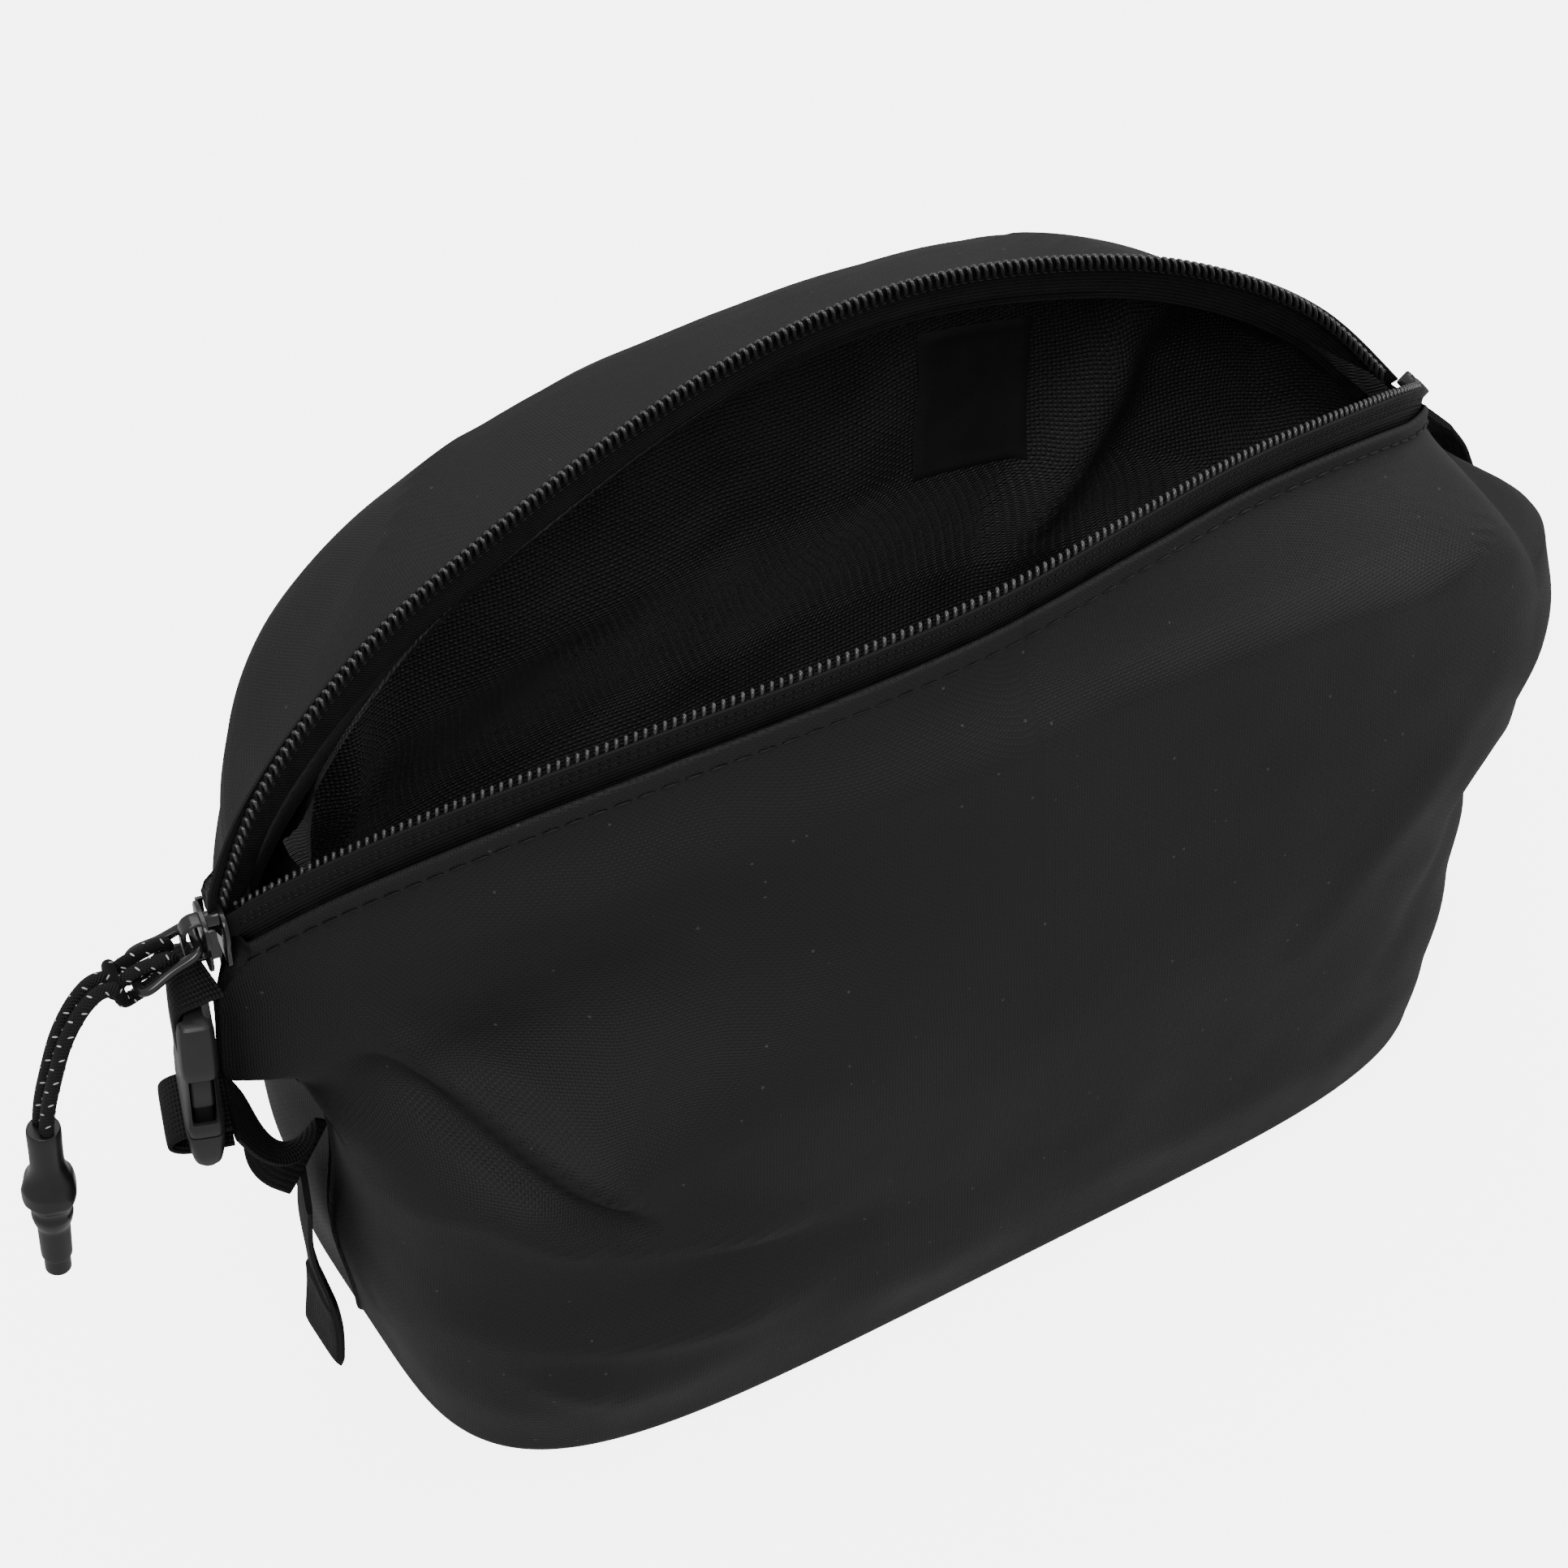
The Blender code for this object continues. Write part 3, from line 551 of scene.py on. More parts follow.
def shell_rows(side, folds):
    """The outer wall from its rounded foot to its top edge, where it is folded in."""
    tall = 0.13
    heights, insets = [], []
    for k in range(7):
        turn = math.pi / 2 * k / 6
        heights.append(FOOT_ROUND * (1 - math.cos(turn)) / tall)
        insets.append(FOOT_ROUND * (1 - math.sin(turn)))
    start = heights[-1]
    for k in range(1, ROWS + 1):
        f = k / ROWS
        heights.append(start + (1 - start) * (1 - (1 - f) ** 1.25))
        insets.append(0.0)
    rows = wall_grid(side, insets, heights, folds=folds)
    inward = Vector((0, -side, 0))
    up = Vector((0, 0, 1))
    top = rows[-1]
    for turn in (0.25, 0.5, 0.75, 1.0):
        angle = math.pi * turn
        rows.append([p + inward * HEM * (1 - math.cos(angle)) + up * HEM * math.sin(angle) for p in top])
    for drop in (2.0, 4.0):
        rows.append([p + inward * HEM * 2 - up * drop * MM for p in top])
    edge = 0.6 * MM
    for row in rows:
        row.insert(0, Vector((row[0].x - edge, row[0].y * 0.3, row[0].z)))
        row.append(Vector((row[-1].x + edge, row[-1].y * 0.3, row[-1].z)))
    return rows


def build_shell():
    names = {-1: "front", 1: "back"}
    for side, folds in ((-1, FRONT_FOLDS), (1, BACK_FOLDS)):
        rows = shell_rows(side, folds)
        panel = grid_piece(names[side] + "_shell", rows, shell_fabric, flip=side > 0)
        blend_to_lip(panel)
        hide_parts(names[side] + "_panel")
        build_topstitch(side, names[side], rows)


def blend_to_lip(piece):
    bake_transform(piece)


def build_topstitch(side, name, rows):
    """A row of thread stitches below the folded top edge."""
    top = rows[-7]
    below = rows[-10]
    line = []
    for a, b in zip(top, below):
        line.append(a + (b - a).normalized() * 3.2 * MM)
    line = evenly(line[6:-6], 2000)
    count = int(length_of(line) / STITCH_PITCH)
    ends = evenly(line, count * 4 + 1)
    places = []
    for k in range(count):
        a, b = ends[4 * k], ends[4 * k + 3]
        along = (b - a).normalized()
        up = Vector((0, side, 0.35)).normalized()
        up = (up - up.dot(along) * along).normalized()
        places.append(((a + b) / 2 + up * 0.12 * MM, along, up))
    stitches = beads(name + "_topstitch", places, (3.2 * MM, 0.55 * MM, 0.5 * MM), thread)
    blend_to_lip(stitches)


def build_base():
    """The underside, a little rippled between its rounded edges."""
    rim = []
    for side, order in ((-1, range(1, COLUMNS)), (1, range(COLUMNS - 1, 0, -1))):
        for i in order:
            p = wall_point(side, column(i / COLUMNS), 0.0, FOOT_ROUND)
            rim.append(Vector((p.x, p.y, 0.35 * MM)))
    rows = []
    for k in range(24):
        f = 1 - (k / 24) ** 1.3
        row = []
        for p in rim:
            ripple = noise.noise(Vector((p.x * f * 30, p.y * f * 30, 0)))
            lift = 0.0 if k == 0 else 0.25 * MM * (1 + ripple)
            row.append(Vector((p.x * f, p.y * f, p.z + lift)))
        rows.append(row)
    base = grid_piece("base_shell", rows, shell_fabric, ring=True, flip=True)
    stand_in(base, "bag_body", "base_panel")


# --- the lining ---
LINING_FOLDS = {
    -1: [
        (-70, 20, -60, 120, 7.0, 2.0),
        (30, 20, 20, 110, 10.0, 1.5),
        (86, 30, 60, 120, 7.0, 2.0),
    ],
    1: [
        (-92, 40, -78, 140, 6.0, 4.0),
        (-70, 30, -60, 130, 8.0, -2.0),
        (-20, 20, -10, 140, 12.0, 1.5),
        (96, 128, 66, 70, 7.0, 6.0),
        (80, 140, 100, 90, 5.0, -2.0),
        (40, 30, 60, 110, 9.0, -1.5),
    ],
}
LINING_INSET = 3.4 * MM
LINING_FOOT = 0.012           # height of its lowest edge, as a share of the wall


def lining_rows(side):
    """The lining hangs inside the wall, loose enough to fold, and ends on the tape below the teeth."""
    columns, count = 150, 60
    heights = [LINING_FOOT + (1 - LINING_FOOT) * k / count for k in range(count + 1)]
    base = np.array([[tuple(wall_point(side, column(i / columns), v)) for i in range(columns + 1)]
                     for v in heights])
    along = np.gradient(base, axis=1)
    up = np.gradient(base, axis=0)
    normal = np.cross(along, up) * -side
    normal /= np.maximum(np.linalg.norm(normal, axis=2, keepdims=True), 1e-12)
    rows = []
    for j, v in enumerate(heights):
        row = []
        near_top = smooth([(0.86, 0.0), (1.0, 1.0)], v)
        short = smooth([(0.42, 0.0), (0.62, 0.13)], v)
        looser = smooth([(0.45, 0.0), (0.6, 1.0), (0.84, 1.0), (0.95, 0.0)], v)
        for i in range(columns + 1):
            s = column(i / columns)
            at = short + (1 - short) * s
            k = min(at * columns, columns - 1e-6)
            low = int(k)
            here = Vector(base[j, low]).lerp(Vector(base[j, low + 1]), k - low)
            out = Vector(normal[j, low])
            calm = smooth([(0.0, 0.0), (0.06, 1.0), (0.94, 1.0), (1.0, 0.0)], s) * (1 - near_top)
            calm *= smooth([(0.0, 0.0), (0.15, 1.0)], v)
            bulge = fold_height(LINING_FOLDS[side], here.x, here.z) + 0.9 * abs(crumple(here * 1.7, side))
            slack = 3.5 * MM * looser * smooth([(0.02, 0.0), (0.1, 1.0), (0.3, 1.0), (0.42, 0.0)], s)
            p = here - out * (LINING_INSET + slack + max(bulge, 0.0) * calm)
            p.y -= side * 1.3 * MM * near_top
            p.z += 1.5 * MM * near_top
            end = smooth([(0.0, 0.0), (0.05, 1.0)], s) if short > 0 else 1.0
            p.y = side * max(side * p.y * end, 0.3 * MM)
            row.append(p)
        rows.append(row)
    return rows


def build_lining():
    for side, name in ((-1, "front"), (1, "back")):
        rows = lining_rows(side)
        lining = grid_piece(name + "_lining_cloth", rows, lining_fabric, flip=side < 0)
        blend_to_lip(lining)
        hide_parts(name + "_lining")
    build_label(rows)
    rim = []
    for side, order in ((-1, range(1, COLUMNS)), (1, range(COLUMNS - 1, 0, -1))):
        for i in order:
            p = wall_point(side, column(i / COLUMNS), 0.0, LINING_INSET + 0.6 * MM)
            rim.append(Vector((p.x, p.y, 1.9 * MM)))
    rows = []
    for k in range(24):
        f = 1 - (k / 24) ** 1.2
        row = []
        for p in rim:
            ripple = noise.noise(Vector((p.x * f * 40, p.y * f * 40, 2)))
            row.append(Vector((p.x * f, p.y * f, p.z + 0.5 * MM * (1 + ripple))))
        rows.append(row)
    floor = grid_piece("floor_lining_cloth", rows, lining_fabric, ring=True)
    stand_in(floor, "bag_body", "base_lining")


def on_lining(rows, x, v):
    """The point of the lining's right half at a given x and height."""
    at = (v - LINING_FOOT) / (1 - LINING_FOOT) * (len(rows) - 1)
    low = int(at)
    ends = []
    for row in rows[low:low + 2]:
        half = row[len(row) // 2:-10]
        places = [p.x for p in half]
        y = np.interp(x, places, [p.y for p in half])
        z = np.interp(x, places, [p.z for p in half])
        ends.append(Vector((x, y, z)))
    return ends[0].lerp(ends[1], at - low)


def build_label(lining):
    """A plain patch sewn flat to the back lining, with a hem round it."""
    lo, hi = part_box("inner_label")
    columns, count = 20, 32
    rows = []
    for j in range(count + 1):
        row = []
        for i in range(columns + 1):
            rim = min(i, columns - i, j, count - j)
            lift = 0.2 if rim == 0 else 0.75 if rim < 3 else 0.55
            x = lo.x - 1.5 * MM + (hi.x - lo.x + 3 * MM) * i / columns
            p = on_lining(lining, x, 0.60 + 0.22 * j / count)
            row.append(p - Vector((0, lift * MM, 0)))
        rows.append(row)
    label = grid_piece("label_patch", rows, label_fabric, flip=True)
    stand_in(label, "bag_body", "inner_label")


# --- the zip ---
def build_zip():
    down = Vector((0, 0, -1))
    for side, name in ((-1, "front"), (1, "back")):
        body = name + "_lip"
        inward = Vector((0, -side, 0))
        line = LIPS[side][30:-30]
        path = evenly(LIPS[side][8:-30], 240)
        half = TAPE_WIDTH / 2
        section = rounded(half, TAPE / 2, 8, 24)
        shown = [smooth([(0.0, 0.4), (0.04, 1.0)], i / (len(path) - 1)) for i in range(len(path))]
        middle = [p + down * (0.8 * MM + half * f) + inward * TAPE / 2 for p, f in zip(path, shown)]
        tape = sweep(name + "_tape", middle, [down] * len(middle), section, tape_fabric, shown)
        stand_in(tape, body, name + "_zip_tape")

        turns = int(length_of(line) / TOOTH_PITCH)
        per_turn = 12
        centres = evenly(line, turns * per_turn + 1)
        helix = []
        for k, p in enumerate(centres):
            a = 2 * math.pi * k / per_turn
            high = math.copysign(abs(math.cos(a)) ** 0.8, math.cos(a))
            helix.append(p + down * (1.3 * MM - 1.35 * MM * high)
                         + inward * (1.35 + 0.6 * math.sin(a)) * MM)
        coil = sweep(name + "_coil", helix, carried(helix, (1, 0, 0)), circle(0.36 * MM, 6), coil_nylon)
        stand_in(coil, body, name + "_zip_coil")

        places = []
        marks = evenly(line, turns * 2 + 1)
        for k, p in enumerate(marks[:-1]):
            ahead = (marks[k + 1] - p).normalized()
            lean = (ahead + down * (0.7 if k % 2 else -0.7)).normalized()
            for drop in (2.0, 3.3):
                places.append((p + down * drop * MM - inward * 0.08 * MM, lean, -inward))
            if k % 2:
                places.append((p + down * 2.6 * MM + inward * 2.1 * MM, ahead, inward))
        sewing = beads(name + "_tape_sewing", places, (0.95 * MM, 0.34 * MM, 0.34 * MM), thread, 4, 6)
        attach(sewing, body)


def build_stop():
    lo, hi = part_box("zip_bottom_stop")
    centre = (lo + hi) / 2
    turn = Matrix.Rotation(math.radians(53), 4, "Y")
    place = Matrix.Translation(centre) @ turn
    levels = scaled([(-1.5, 1.7, 2.2, 6), (-1.3, 2.0, 2.5, 5),
                     (1.3, 2.0, 2.5, 5), (1.5, 1.7, 2.2, 6)])
    stop = loft("stop_clip", levels, place, slider_metal)
    groove = block((6 * MM, 0.8 * MM, 1.2 * MM), (0, 0, 1.5 * MM), place, slider_metal)
    carve(stop, [groove], edge=0.15 * MM)
    stand_in(stop, "bag_body", "zip_bottom_stop")


SLIDER_OUT = Vector((-0.985, 0.17, 0.0)).normalized()
SLIDER_CENTRE = Vector((-125.6, 0, 112.2)) * MM
HINGE = Vector((-128.606, 0.519, 112.2)) * MM
REACH = SLIDER_OUT * 10.6 * MM - Vector((0, 0, 4.6 * MM))
PULL_ACROSS = Vector((SLIDER_OUT.y, -SLIDER_OUT.x, 0))


def plate(name, place, level, thick):
    """A slider plate: wide at its mouth, with flanges, and narrow where the teeth leave it."""
    outline = [(-5.5, 2.9), (-5.0, 3.3), (-2.0, 3.5), (1.0, 4.3), (3.4, 4.3), (4.8, 3.4), (5.5, 1.6)]
    half = smooth_path([(a, b, 0) for a, b in outline], 26)
    ring = [(p.x * MM, p.y * MM) for p in half] + [(p.x * MM, -p.y * MM) for p in reversed(half)]
    rows = []
    for high, shrink in ((-0.5, 0.94), (-0.36, 1.0), (0.36, 1.0), (0.5, 0.94)):
        rows.append([place @ Vector((a * shrink, b * shrink, level + high * thick)) for a, b in ring])
    return grid_piece(name, rows, slider_metal, ring=True, caps=True)


def build_slider():
    up = Vector((0, 0, 1))
    turn = Matrix((up, SLIDER_OUT.cross(up), SLIDER_OUT)).transposed().to_4x4()
    place = Matrix.Translation(SLIDER_CENTRE) @ turn
    level = 1.55 * MM
    body = plate("slider_plates", place, level, 0.9 * MM)
    lower = plate("lower", place, -level, 0.9 * MM)
    nose = loft("nose", [(-level, 1.4 * MM, 1.1 * MM, 3), (level, 1.4 * MM, 1.1 * MM, 3)],
                place @ Matrix.Translation((3.4 * MM, 0, 0)), slider_metal)
    flanges = [block((6.4 * MM, 0.7 * MM, 1.2 * MM), (1.6 * MM, side * 3.9 * MM, level - 0.7 * MM), place,
                     slider_metal) for side in (-1, 1)]
    arch = [(-4.0, 0, 1.7), (-3.9, 0, 3.6), (-2.7, 0, 4.8), (0, 0, 5.0), (2.7, 0, 4.8), (3.9, 0, 3.6),
            (4.0, 0, 1.7)]
    arch = smooth_path([Vector(p) * MM for p in arch], 30)
    bridge = sweep("bridge", [place @ p for p in arch], [place.to_3x3() @ Vector((0, 1, 0))] * 30,
                   rounded(1.5 * MM, 0.42 * MM, 5), slider_metal)
    carve(body, [lower, nose, *flanges, bridge], "UNION", edge=0.12 * MM)
    stand_in(body, "zip_slider", "slider_body")


def build_pull():
    """A flat-sided wire loop through the slider's bridge."""
    outline = [(0.0, 0.0), (0.0, 2.4), (0.12, 3.5), (0.5, 3.8), (0.85, 4.6), (0.99, 3.6), (1.0, 0.0)]
    half = smooth_path([(a, b, 0) for a, b in outline], 40)
    ring = [(p.x, p.y) for p in half] + [(p.x, -p.y) for p in reversed(half[1:-1])]
    path = [HINGE + REACH * a + PULL_ACROSS * b * MM for a, b in ring]
    flat = REACH.normalized().cross(PULL_ACROSS)
    last = len(path)
    rows = []
    for i, p in enumerate(path):
        ahead = (path[(i + 1) % last] - path[i - 1]).normalized()
        side = ahead.cross(flat).normalized()
        rows.append([p + side * a + flat * b for a, b in rounded(0.85 * MM, 0.75 * MM, 2.6, 14)])
    rows.append(rows[0])
    wire = grid_piece("pull_loop", rows, slider_metal, ring=True)
    stand_in(wire, "puller", "pull_wire")


# --- the cord ---
SLEEVE_TOP = Vector((-159.3, 0.0, 84.5)) * MM
STRAND_ROUTES = {}
END = HINGE + REACH
for strand, y in (("front", -1.4), ("rear", 1.4)):
    stops = [((END.x / MM) - 3.9, y + 1.6, 108.8), (-146.3, y + 1.2, 109.6), (-149.9, y + 0.8, 107.2),
             (-153.4, y + 0.5, 102.2), (-156.2, y + 0.2, 95.6), (-158.2, y, 89.9), (-159.3, y, 84.8)]
    STRAND_ROUTES[strand] = smooth_path([Vector(p) * MM for p in stops], 30)


def add_flecks(name, path, radius, body, phase=0.0):
    """Pale tracer threads that surface on a braid at a steady pitch."""
    pitch = 2.2 * MM
    count = int(length_of(path) / pitch)
    marks = evenly(path, count + 1)
    widths = carried(marks, (0.3, 0.95, 0.1))
    places = []
    for k, (p, ahead, wide) in enumerate(zip(marks, aheads(marks), widths)):
        if k == 0 or k == count:
            continue
        out = ahead.cross(wide)
        for turn in (0.15, 1.15, 2.2, 3.3, 4.3, 5.4):
            if (k + int(turn)) % 2:
                continue
            away = wide * math.cos(turn + phase) + out * math.sin(turn + phase)
            around = ahead.cross(away)
            lean = (around + ahead * 0.55).normalized()
            places.append((p + away * (radius - 0.02 * MM), lean, away))
    flecks = beads(name, places, (1.05 * MM, 0.34 * MM, 0.2 * MM), tracer_thread, 4, 6)
    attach(flecks, body)
    return flecks


def build_cords():
    for word, route in STRAND_ROUTES.items():
        path = evenly(route, 60)
        strand = sweep(word + "_strand", path, carried(path, (0, 1, 0)), circle(CORD / 2, 20),
                       cord_braid)
        stand_in(strand, "pull_cord", "cord_strand_" + word)
        phase = 0.4 if word == "front" else 2.0
        flecks = add_flecks(word + "_strand_flecks", path, CORD / 2, "pull_cord", phase)


def build_hitch():
    """The cord's middle, looped round the far end of the wire so that it grips itself."""
    out = REACH.normalized()
    wide = PULL_ACROSS
    up = wide.cross(out)
    if up.z < 0:
        up = -up
    half = [(4.6, 0.4, -1.5), (1.6, 1.9, -1.5), (-1.0, 2.1, -1.5), (-5.2, 1.6, -1.7), (-6.9, 0.4, -1.7),
            (-5.4, -1.1, -1.7), (-1.4, -2.2, -1.6), (1.6, -2.1, -1.9), (3.2, -0.9, -2.9), (3.0, 1.2, -3.0),
            (2.6, 2.9, -1.9), (2.5, 3.3, 0.0)]
    points = half + [(a, b, -c) for a, b, c in reversed(half[:-1])]
    route = [END + (out * a + up * b + wide * c) * MM for a, b, c in points]
    path = evenly(smooth_path(route, 160), 120)
    hitch = sweep("cord_loop", path, carried(path, (0.2, 0.3, 1)), circle(1.15 * MM, 14), cord_braid)
    stand_in(hitch, "pull_cord", "cord_hitch")
    add_flecks("cord_loop_flecks", path, 1.15 * MM, "pull_cord", 1.0)


def build_sleeve():
    """A tube shrunk over the knotted ends of the cord, with the knot showing through it."""
    outline = [(2.5, 0.0), (2.85, 0.15), (2.95, 1.5), (2.9, 5.0), (2.95, 8.5), (3.5, 10.8), (4.4, 12.6),
               (4.7, 14.4), (4.4, 16.2), (3.6, 17.9), (3.4, 19.2), (3.6, 20.6), (3.3, 22.2), (2.85, 23.6),
               (2.75, 26.0), (2.65, 30.6), (2.55, 31.2), (2.25, 31.5), (2.25, 34.4), (2.1, 34.9),
               (1.2, 35.0)]
    place = Matrix.Translation(SLEEVE_TOP) @ Matrix.Rotation(math.radians(4), 4, "Y")
    rows = []
    for p in smooth_path([(r, 0, d) for r, d in outline], 110):
        row = []
        for k in range(40):
            a = 2 * math.pi * k / 40
            lump = noise.noise(Vector((math.cos(a) * 1.3, math.sin(a) * 1.3, p.z * 0.16)))
            knot = math.exp(-((p.z - 15.5) / 5.0) ** 2)
            oval = 0.10 * math.sin(2 * a) * math.exp(-((p.z - 4) / 5) ** 2)
            radius = p.x * (1 + 0.2 * lump * knot) + oval
            radius = min(radius, 4.75)
            row.append(place @ Vector((radius * math.cos(a) * MM, radius * math.sin(a) * MM, -p.z * MM)))
        rows.append(row)
    sleeve = grid_piece("shrunk_sleeve", rows, sleeve_rubber, ring=True, caps=True)
    stand_in(sleeve, "pull_cord", "cord_sleeve")
    return sleeve


# --- buckles and webbing ---
def buckle_axes(place, across, down):
    """A buckle's own axes: X across its width, -Z down its length, Y through its thickness."""
    z = -down.normalized()
    x = (across - across.dot(z) * z).normalized()
    return Matrix.Translation(place) @ Matrix((x, z.cross(x), z)).transposed().to_4x4()


def scaled(levels):
    return [(h * MM, a * MM, b * MM, power) for h, a, b, power in levels]


def build_buckle(word, axes):
    body = word + "_buckle"
    foot = FOOT / MM
    socket = loft(word + "_socket", scaled([
        (3.4, 9.6, 2.5, 6), (3.0, 10.1, 2.9, 6), (1.0, 10.4, 3.2, 6), (-6.0, 10.5, 3.3, 6),
        (-8.2, 10.5, 3.3, 6), (-9.2, 10.1, 3.1, 5), (-19.0, 10.0, 3.1, 5),
        (-20.2, 10.5, 3.25, 6), (-22.2, 10.5, 3.25, 6), (foot + 0.3, 10.3, 3.1, 6)]),
        axes, buckle_plastic, 56)
    cutters = [
        block((19 * MM, 4.1 * MM, 19 * MM), (0, 0, FOOT + 9 * MM), axes, buckle_plastic),
        block((15.8 * MM, 10 * MM, 2.8 * MM), (0, 0, -2.4 * MM), axes, buckle_plastic, 8),
        block((26 * MM, 4.3 * MM, 10.6 * MM), (0, 0, FOOT + 8.6 * MM), axes, buckle_plastic, 6),
    ]
    for sign in (-1, 1):
        slope = axes @ Matrix.Translation((0, sign * 3.5 * MM, 1.0 * MM))
        cutters.append(block((15.8 * MM, 4.0 * MM, 8 * MM), (0, 0, 0), slope, buckle_plastic, 8))
    carve(socket, cutters, edge=0.25 * MM)
    stand_in(socket, body, word + "_buckle_socket")

    plug = loft(word + "_plug", scaled([
        (foot, 10.4, 3.2, 6), (foot - 0.4, 10.5, 3.3, 6), (foot - 4.5, 10.4, 3.1, 5),
        (foot - 6.8, 10.0, 2.8, 4), (foot - 8.0, 9.3, 2.1, 3), (foot - 8.45, 8.3, 1.1, 3)]),
        axes, buckle_plastic, 56)
    slots = [block((16 * MM, 12 * MM, 2.2 * MM), (0, 0, FOOT - drop * MM), axes, buckle_plastic, 8)
             for drop in (2.6, 6.2)]
    carve(plug, slots, edge=0.25 * MM)
    tongue = loft("tongue", scaled([(foot - 0.6, 2.5, 1.3, 5), (foot + 12, 2.5, 1.3, 5),
                                    (foot + 13, 1.6, 0.8, 4)]), axes, buckle_plastic)
    carve(plug, [tongue], "UNION")
    stand_in(plug, body, word + "_buckle_plug")

    for sign, end in ((-1, "front"), (1, "rear")):
        levels = scaled([(foot + 0.7, 0.9, 1.6, 5), (foot + 5.0, 0.9, 1.6, 5),
                         (foot + 6.4, 2.0, 1.9, 5), (foot + 7.0, 2.3, 2.0, 5),
                         (foot + 12.5, 2.2, 2.0, 5), (foot + 13.8, 1.7, 1.8, 4),
                         (foot + 15.0, 0.8, 1.4, 3)])
        place = axes @ Matrix.Translation((sign * 7.0 * MM, 0, 0))
        prong = loft(f"{word}_{end}_arm", levels, place, buckle_plastic)
        prong.data.set_sharp_from_angle(angle=math.radians(50))
        stand_in(prong, f"{word}_{end}_prong", f"{word}_prong_{end}")


def strip(name, route, wide, body, node, last_wide=None, folded=0.0, count=90):
    """A strip of webbing, which may twist from one width direction to another. folded is the
    length at its end that is turned back on itself."""
    path = evenly(smooth_path(route, 200), count)
    whole = length_of(path)
    rows = []
    half = (WEB_WIDTH - 0.6 * MM) / 2
    for i, (p, ahead) in enumerate(zip(path, aheads(path))):
        turned = smooth([(0.0, 0.0), (1.0, 1.0)], i / (count - 1))
        across = wide.lerp(last_wide or wide, turned)
        across = (across - across.dot(ahead) * ahead).normalized()
        out = ahead.cross(across)
        left = whole * (1 - i / (count - 1))
        thick = WEB / 2 * (1.9 if left < folded else 1.0)
        tip = min(1.0, math.sqrt(max(left, 0.02 * MM) / (1.2 * MM))) if folded else 1.0
        rows.append([p + across * a + out * b * tip for a, b in rounded(half, thick - 0.1 * MM, 5, 32)])
    piece = grid_piece(name, rows, webbing, ring=True, caps=True)
    if body:
        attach(piece, body)
    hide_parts(node)
    return piece


def build_webbing(word, axes, tab_route, seam):
    across = (axes.to_3x3() @ Vector((1, 0, 0))).normalized()
    outer = Vector((math.copysign(1, axes.translation.x), 0, 0))
    outer = (outer - outer.dot(across) * across).normalized()
    up = Vector((0, 0, 1))

    def near(place, away, high):
        return place + outer * away * MM + up * high * MM

    bar = axes.translation
    round_bar = [(1.9, 4.5), (2.7, 1.8), (2.3, -1.2), (0.8, -2.5), (-1.2, -2.5)]
    route = tab_route + [near(bar, away, high) for away, high in round_bar]
    strip(word + "_tab_web", route, across, "bag_body", word + "_tab")

    foot = axes @ Vector((0, 0, FOOT))
    round_foot = [(-4.4, -2.5), (3.6, -2.5), (6.2, -4.4), (3.6, -6.3), (-4.4, -6.4)]
    route = [near(foot, away, high) for away, high in round_foot]
    strip(word + "_loop_web", route, across, word + "_buckle", word + "_strap_loop")

    start = near(foot, -4.6, -4.6)
    sewn = seam + up * 6.5 * MM
    route = [start, start.lerp(sewn, 0.3) - up * 2.0 * MM, start.lerp(sewn, 0.7) - up * 2.0 * MM, sewn]
    strap = strip(word + "_strap_web", route, across, None, word + "_strap", last_wide=-up - outer * 0.3)
    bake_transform(strap)

    x = seam.x + outer.x * 1.0 * MM
    route = [Vector((x, 0, 42 * MM)), Vector((x + outer.x * 1.2 * MM, -0.5 * MM, 30 * MM)),
             Vector((x + outer.x * 0.4 * MM, -2.5 * MM, 14 * MM)),
             Vector((x + outer.x * 2.0 * MM, -4 * MM, 2.4 * MM))]
    hanging = Vector((0.35 * -outer.x, 0.94, 0))
    strip(word + "_tail_web", route, hanging, "bag_body", word + "_strap_tail",
          last_wide=Vector((0.05, 1, 0)), folded=14 * MM)


# --- floor, light and camera ---
def build_stage():
    lo, hi = cad_box
    bm = bmesh.new()
    reach = 14.0
    square = ((-1, -1), (1, -1), (1, 1), (-1, 1))
    corners = [bm.verts.new((a * reach, b * reach, -0.0005)) for a, b in square]
    bm.faces.new(corners)
    mesh = bpy.data.meshes.new("floor")
    bm.to_mesh(mesh)
    bm.free()
    material, _, shader = new_material("pale_floor", (0.9, 0.9, 0.9), 0.9, specular=0.1)
    shader.inputs["Emission Color"].default_value = (1.0, 1.0, 1.0, 1.0)
    shader.inputs["Emission Strength"].default_value = 5.0
    floor = link("floor", mesh, material)
    floor.visible_diffuse = False
    floor.visible_glossy = False

    world = bpy.context.scene.world or bpy.data.worlds.new("studio")
    bpy.context.scene.world = world
    world.use_nodes = True
    sky = world.node_tree.nodes["Background"]
    sky.inputs["Color"].default_value = (1.0, 1.0, 1.0, 1.0)
    sky.inputs["Strength"].default_value = 0.55

    middle = (lo + hi) / 2
    lamps = (("key", (-0.5, -0.5, 1.1), 0.7, 7.0), ("side", (0.9, -0.2, 0.7), 0.6, 4.0),
             ("top", (0.1, 0.5, 1.2), 0.8, 4.0))
    for name, place, size, power in lamps:
        lamp = bpy.data.lights.new(name, "AREA")
        lamp.size = size
        lamp.energy = power
        thing = bpy.data.objects.new(name, lamp)
        thing.location = place
        thing.rotation_mode = "QUATERNION"
        thing.rotation_quaternion = (middle - Vector(place)).to_track_quat("-Z", "Y")
        bpy.context.scene.collection.objects.link(thing)


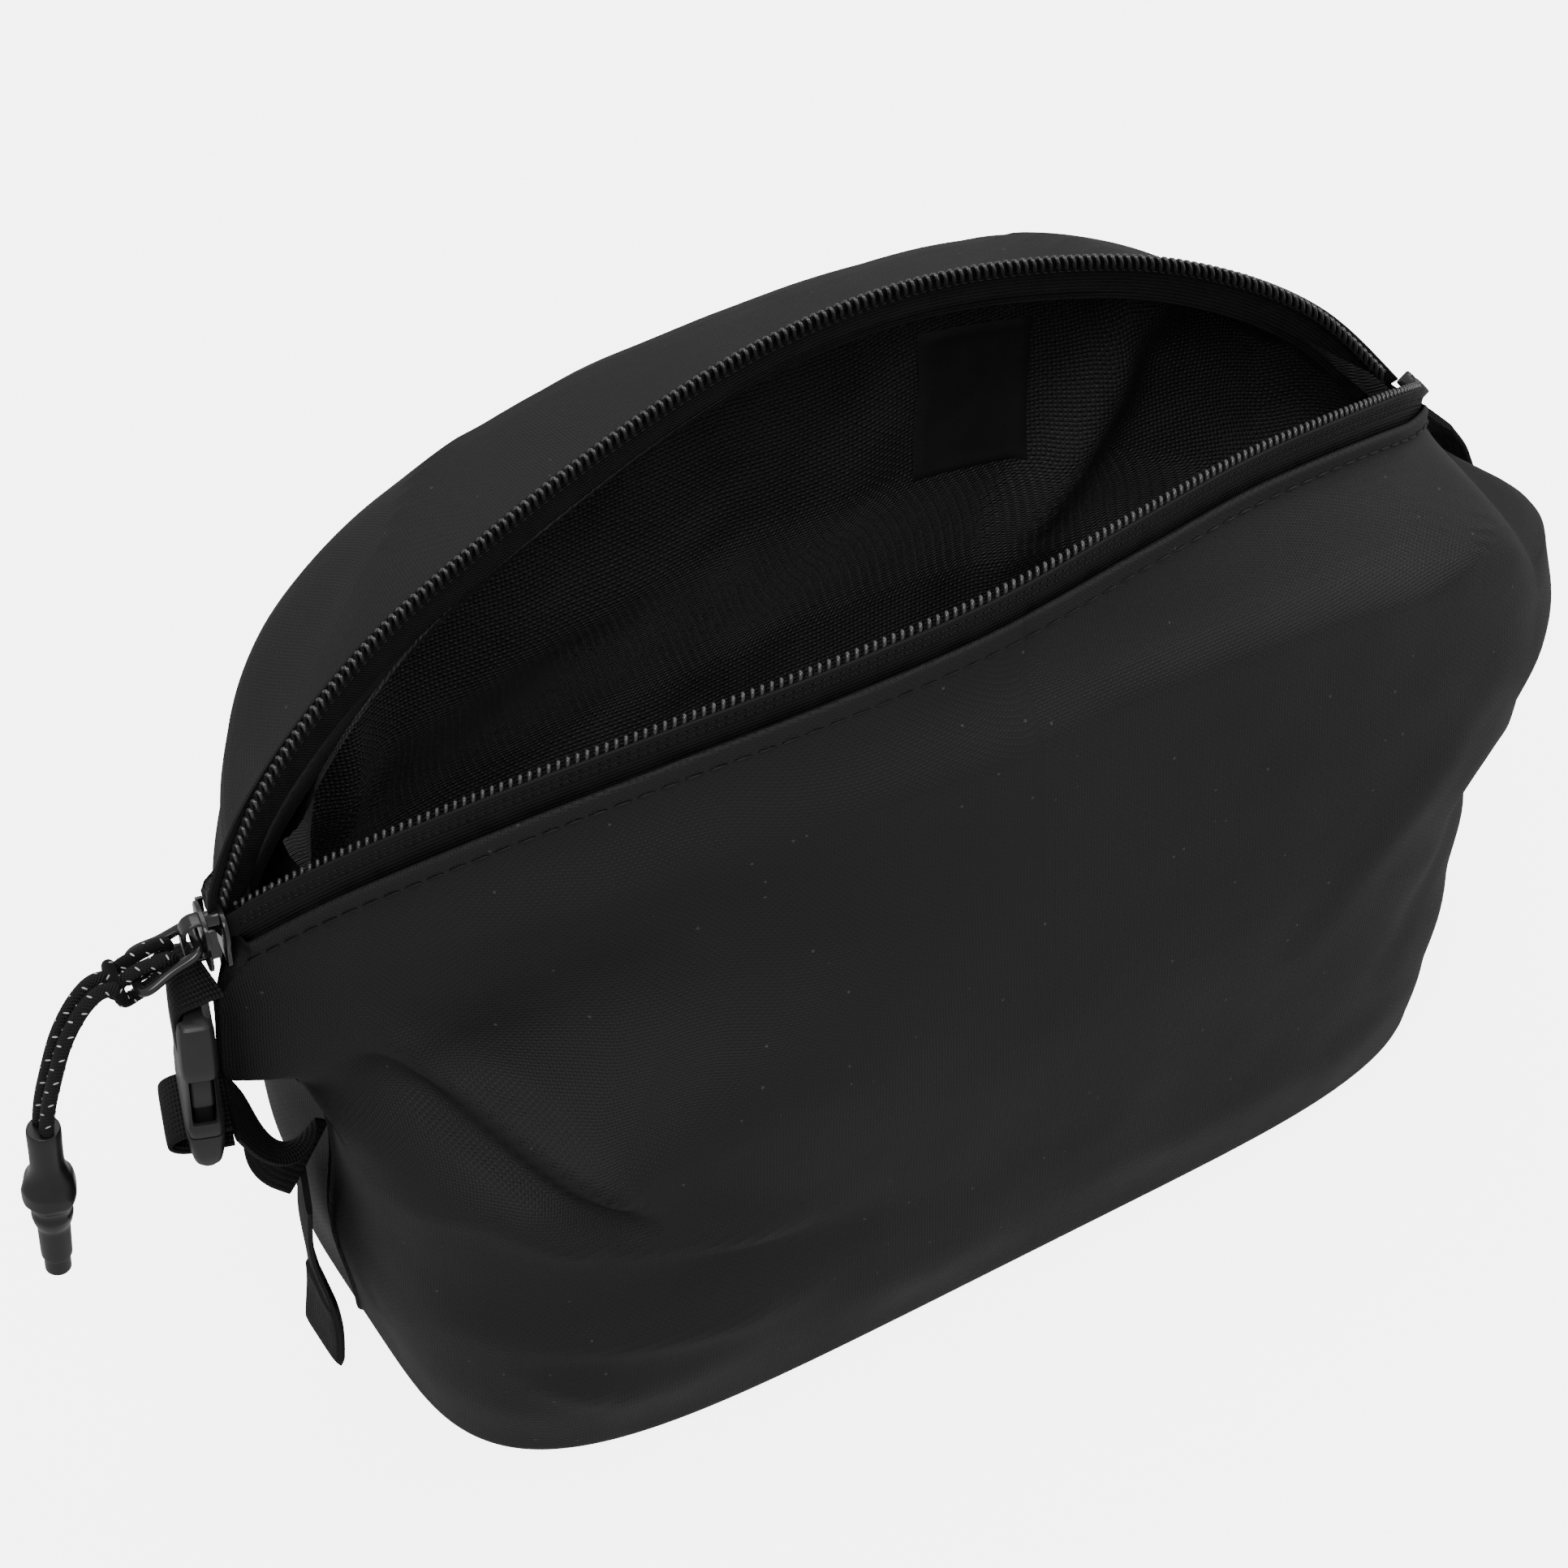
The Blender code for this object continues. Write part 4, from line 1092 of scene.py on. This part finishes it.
def build_camera():
    data = bpy.data.cameras.new("camera")
    data.lens = LENS
    data.sensor_width = 36.0
    data.clip_start = 0.01
    camera = bpy.data.objects.new("camera", data)
    camera.location = CAMERA_PLACE
    camera.rotation_mode = "QUATERNION"
    camera.rotation_quaternion = (CAMERA_TARGET - camera.location).to_track_quat("-Z", "Y")
    bpy.context.scene.collection.objects.link(camera)
    bpy.context.scene.camera = camera


# --- the model ---
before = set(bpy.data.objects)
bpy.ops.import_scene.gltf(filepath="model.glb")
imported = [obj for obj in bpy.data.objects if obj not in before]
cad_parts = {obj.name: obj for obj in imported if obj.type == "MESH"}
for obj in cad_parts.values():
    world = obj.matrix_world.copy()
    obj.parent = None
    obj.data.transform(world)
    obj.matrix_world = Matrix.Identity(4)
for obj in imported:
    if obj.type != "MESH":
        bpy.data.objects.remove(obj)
cad_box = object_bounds()

shell_fabric = fabric_material("shell_cloth", (0.011, 0.011, 0.0114), 0.6 * MM, 0.09 * MM, 0.58,
                               specks=0.06, specular=0.28)
lining_fabric = fabric_material("lining_cloth", (0.034, 0.034, 0.035), 0.95 * MM, 0.28 * MM, 0.6,
                                spread=0.2, specular=0.5)
label_fabric = fabric_material("label_cloth", (0.03, 0.03, 0.031), 0.3 * MM, 0.03 * MM, 0.5,
                               specular=0.4)
tape_fabric = ribbed_material("tape_weave", (0.006, 0.006, 0.0063), 0.5 * MM, 0.7 * MM, 0.12 * MM, 0.65)
webbing = ribbed_material("webbing_weave", (0.006, 0.006, 0.0063), 0.65 * MM, 1.1 * MM, 0.3 * MM, 0.65)
cord_braid = ribbed_material("cord_weave", (0.007, 0.007, 0.0073), 0.7 * MM, 0.55 * MM, 0.2 * MM, 0.55,
                             slant=0.8)
thread = ribbed_material("thread_twist", (0.006, 0.006, 0.0063), 0.3 * MM, 0.3 * MM, 0.04 * MM, 0.5)
tracer_thread = ribbed_material("tracer_twist", (0.62, 0.62, 0.60), 0.2 * MM, 0.2 * MM, 0.02 * MM, 0.45)
coil_nylon = hard_material("coil_plastic", (0.03, 0.03, 0.031), 0.16, 0.4 * MM, 0.01 * MM,
                           specular=0.9)
slider_metal = hard_material("slider_enamel", (0.012, 0.012, 0.0125), 0.2, 0.8 * MM, 0.008 * MM,
                             specular=0.6, coat=0.3)
sleeve_rubber = hard_material("sleeve_tube", (0.010, 0.010, 0.0105), 0.3, 0.5 * MM, 0.012 * MM)
buckle_plastic = hard_material("buckle_moulded", (0.018, 0.018, 0.0187), 0.4, 0.12 * MM, 0.012 * MM)

build_camera()
build_cords()
build_hitch()
build_sleeve()
build_shell()
build_base()
build_lining()
build_zip()
build_stop()
build_slider()
build_pull()
for word, bar, across, tilt, tab_route, seam in (
        ("left", (-131.4, 0, 99.5), (0.3, 0.95, 0), -1.5,
         [(-127.9, 0, 105.1), (-129.9, 0, 105.0)], (-115.2, -0.5, 43)),
        ("right", (131.5, 0, 91.5), (-0.1, 1.0, 0), -2.0,
         [(120.5, 0, 115.5), (124.5, 0, 109.5), (128.3, 0, 101.5)], (117.0, 0, 43))):
    axes = buckle_axes(Vector(bar) * MM, Vector(across), Vector((tilt, 0, -36)))
    build_buckle(word, axes)
    build_webbing(word, axes, [Vector(p) * MM for p in tab_route], Vector(seam) * MM)
build_stage()
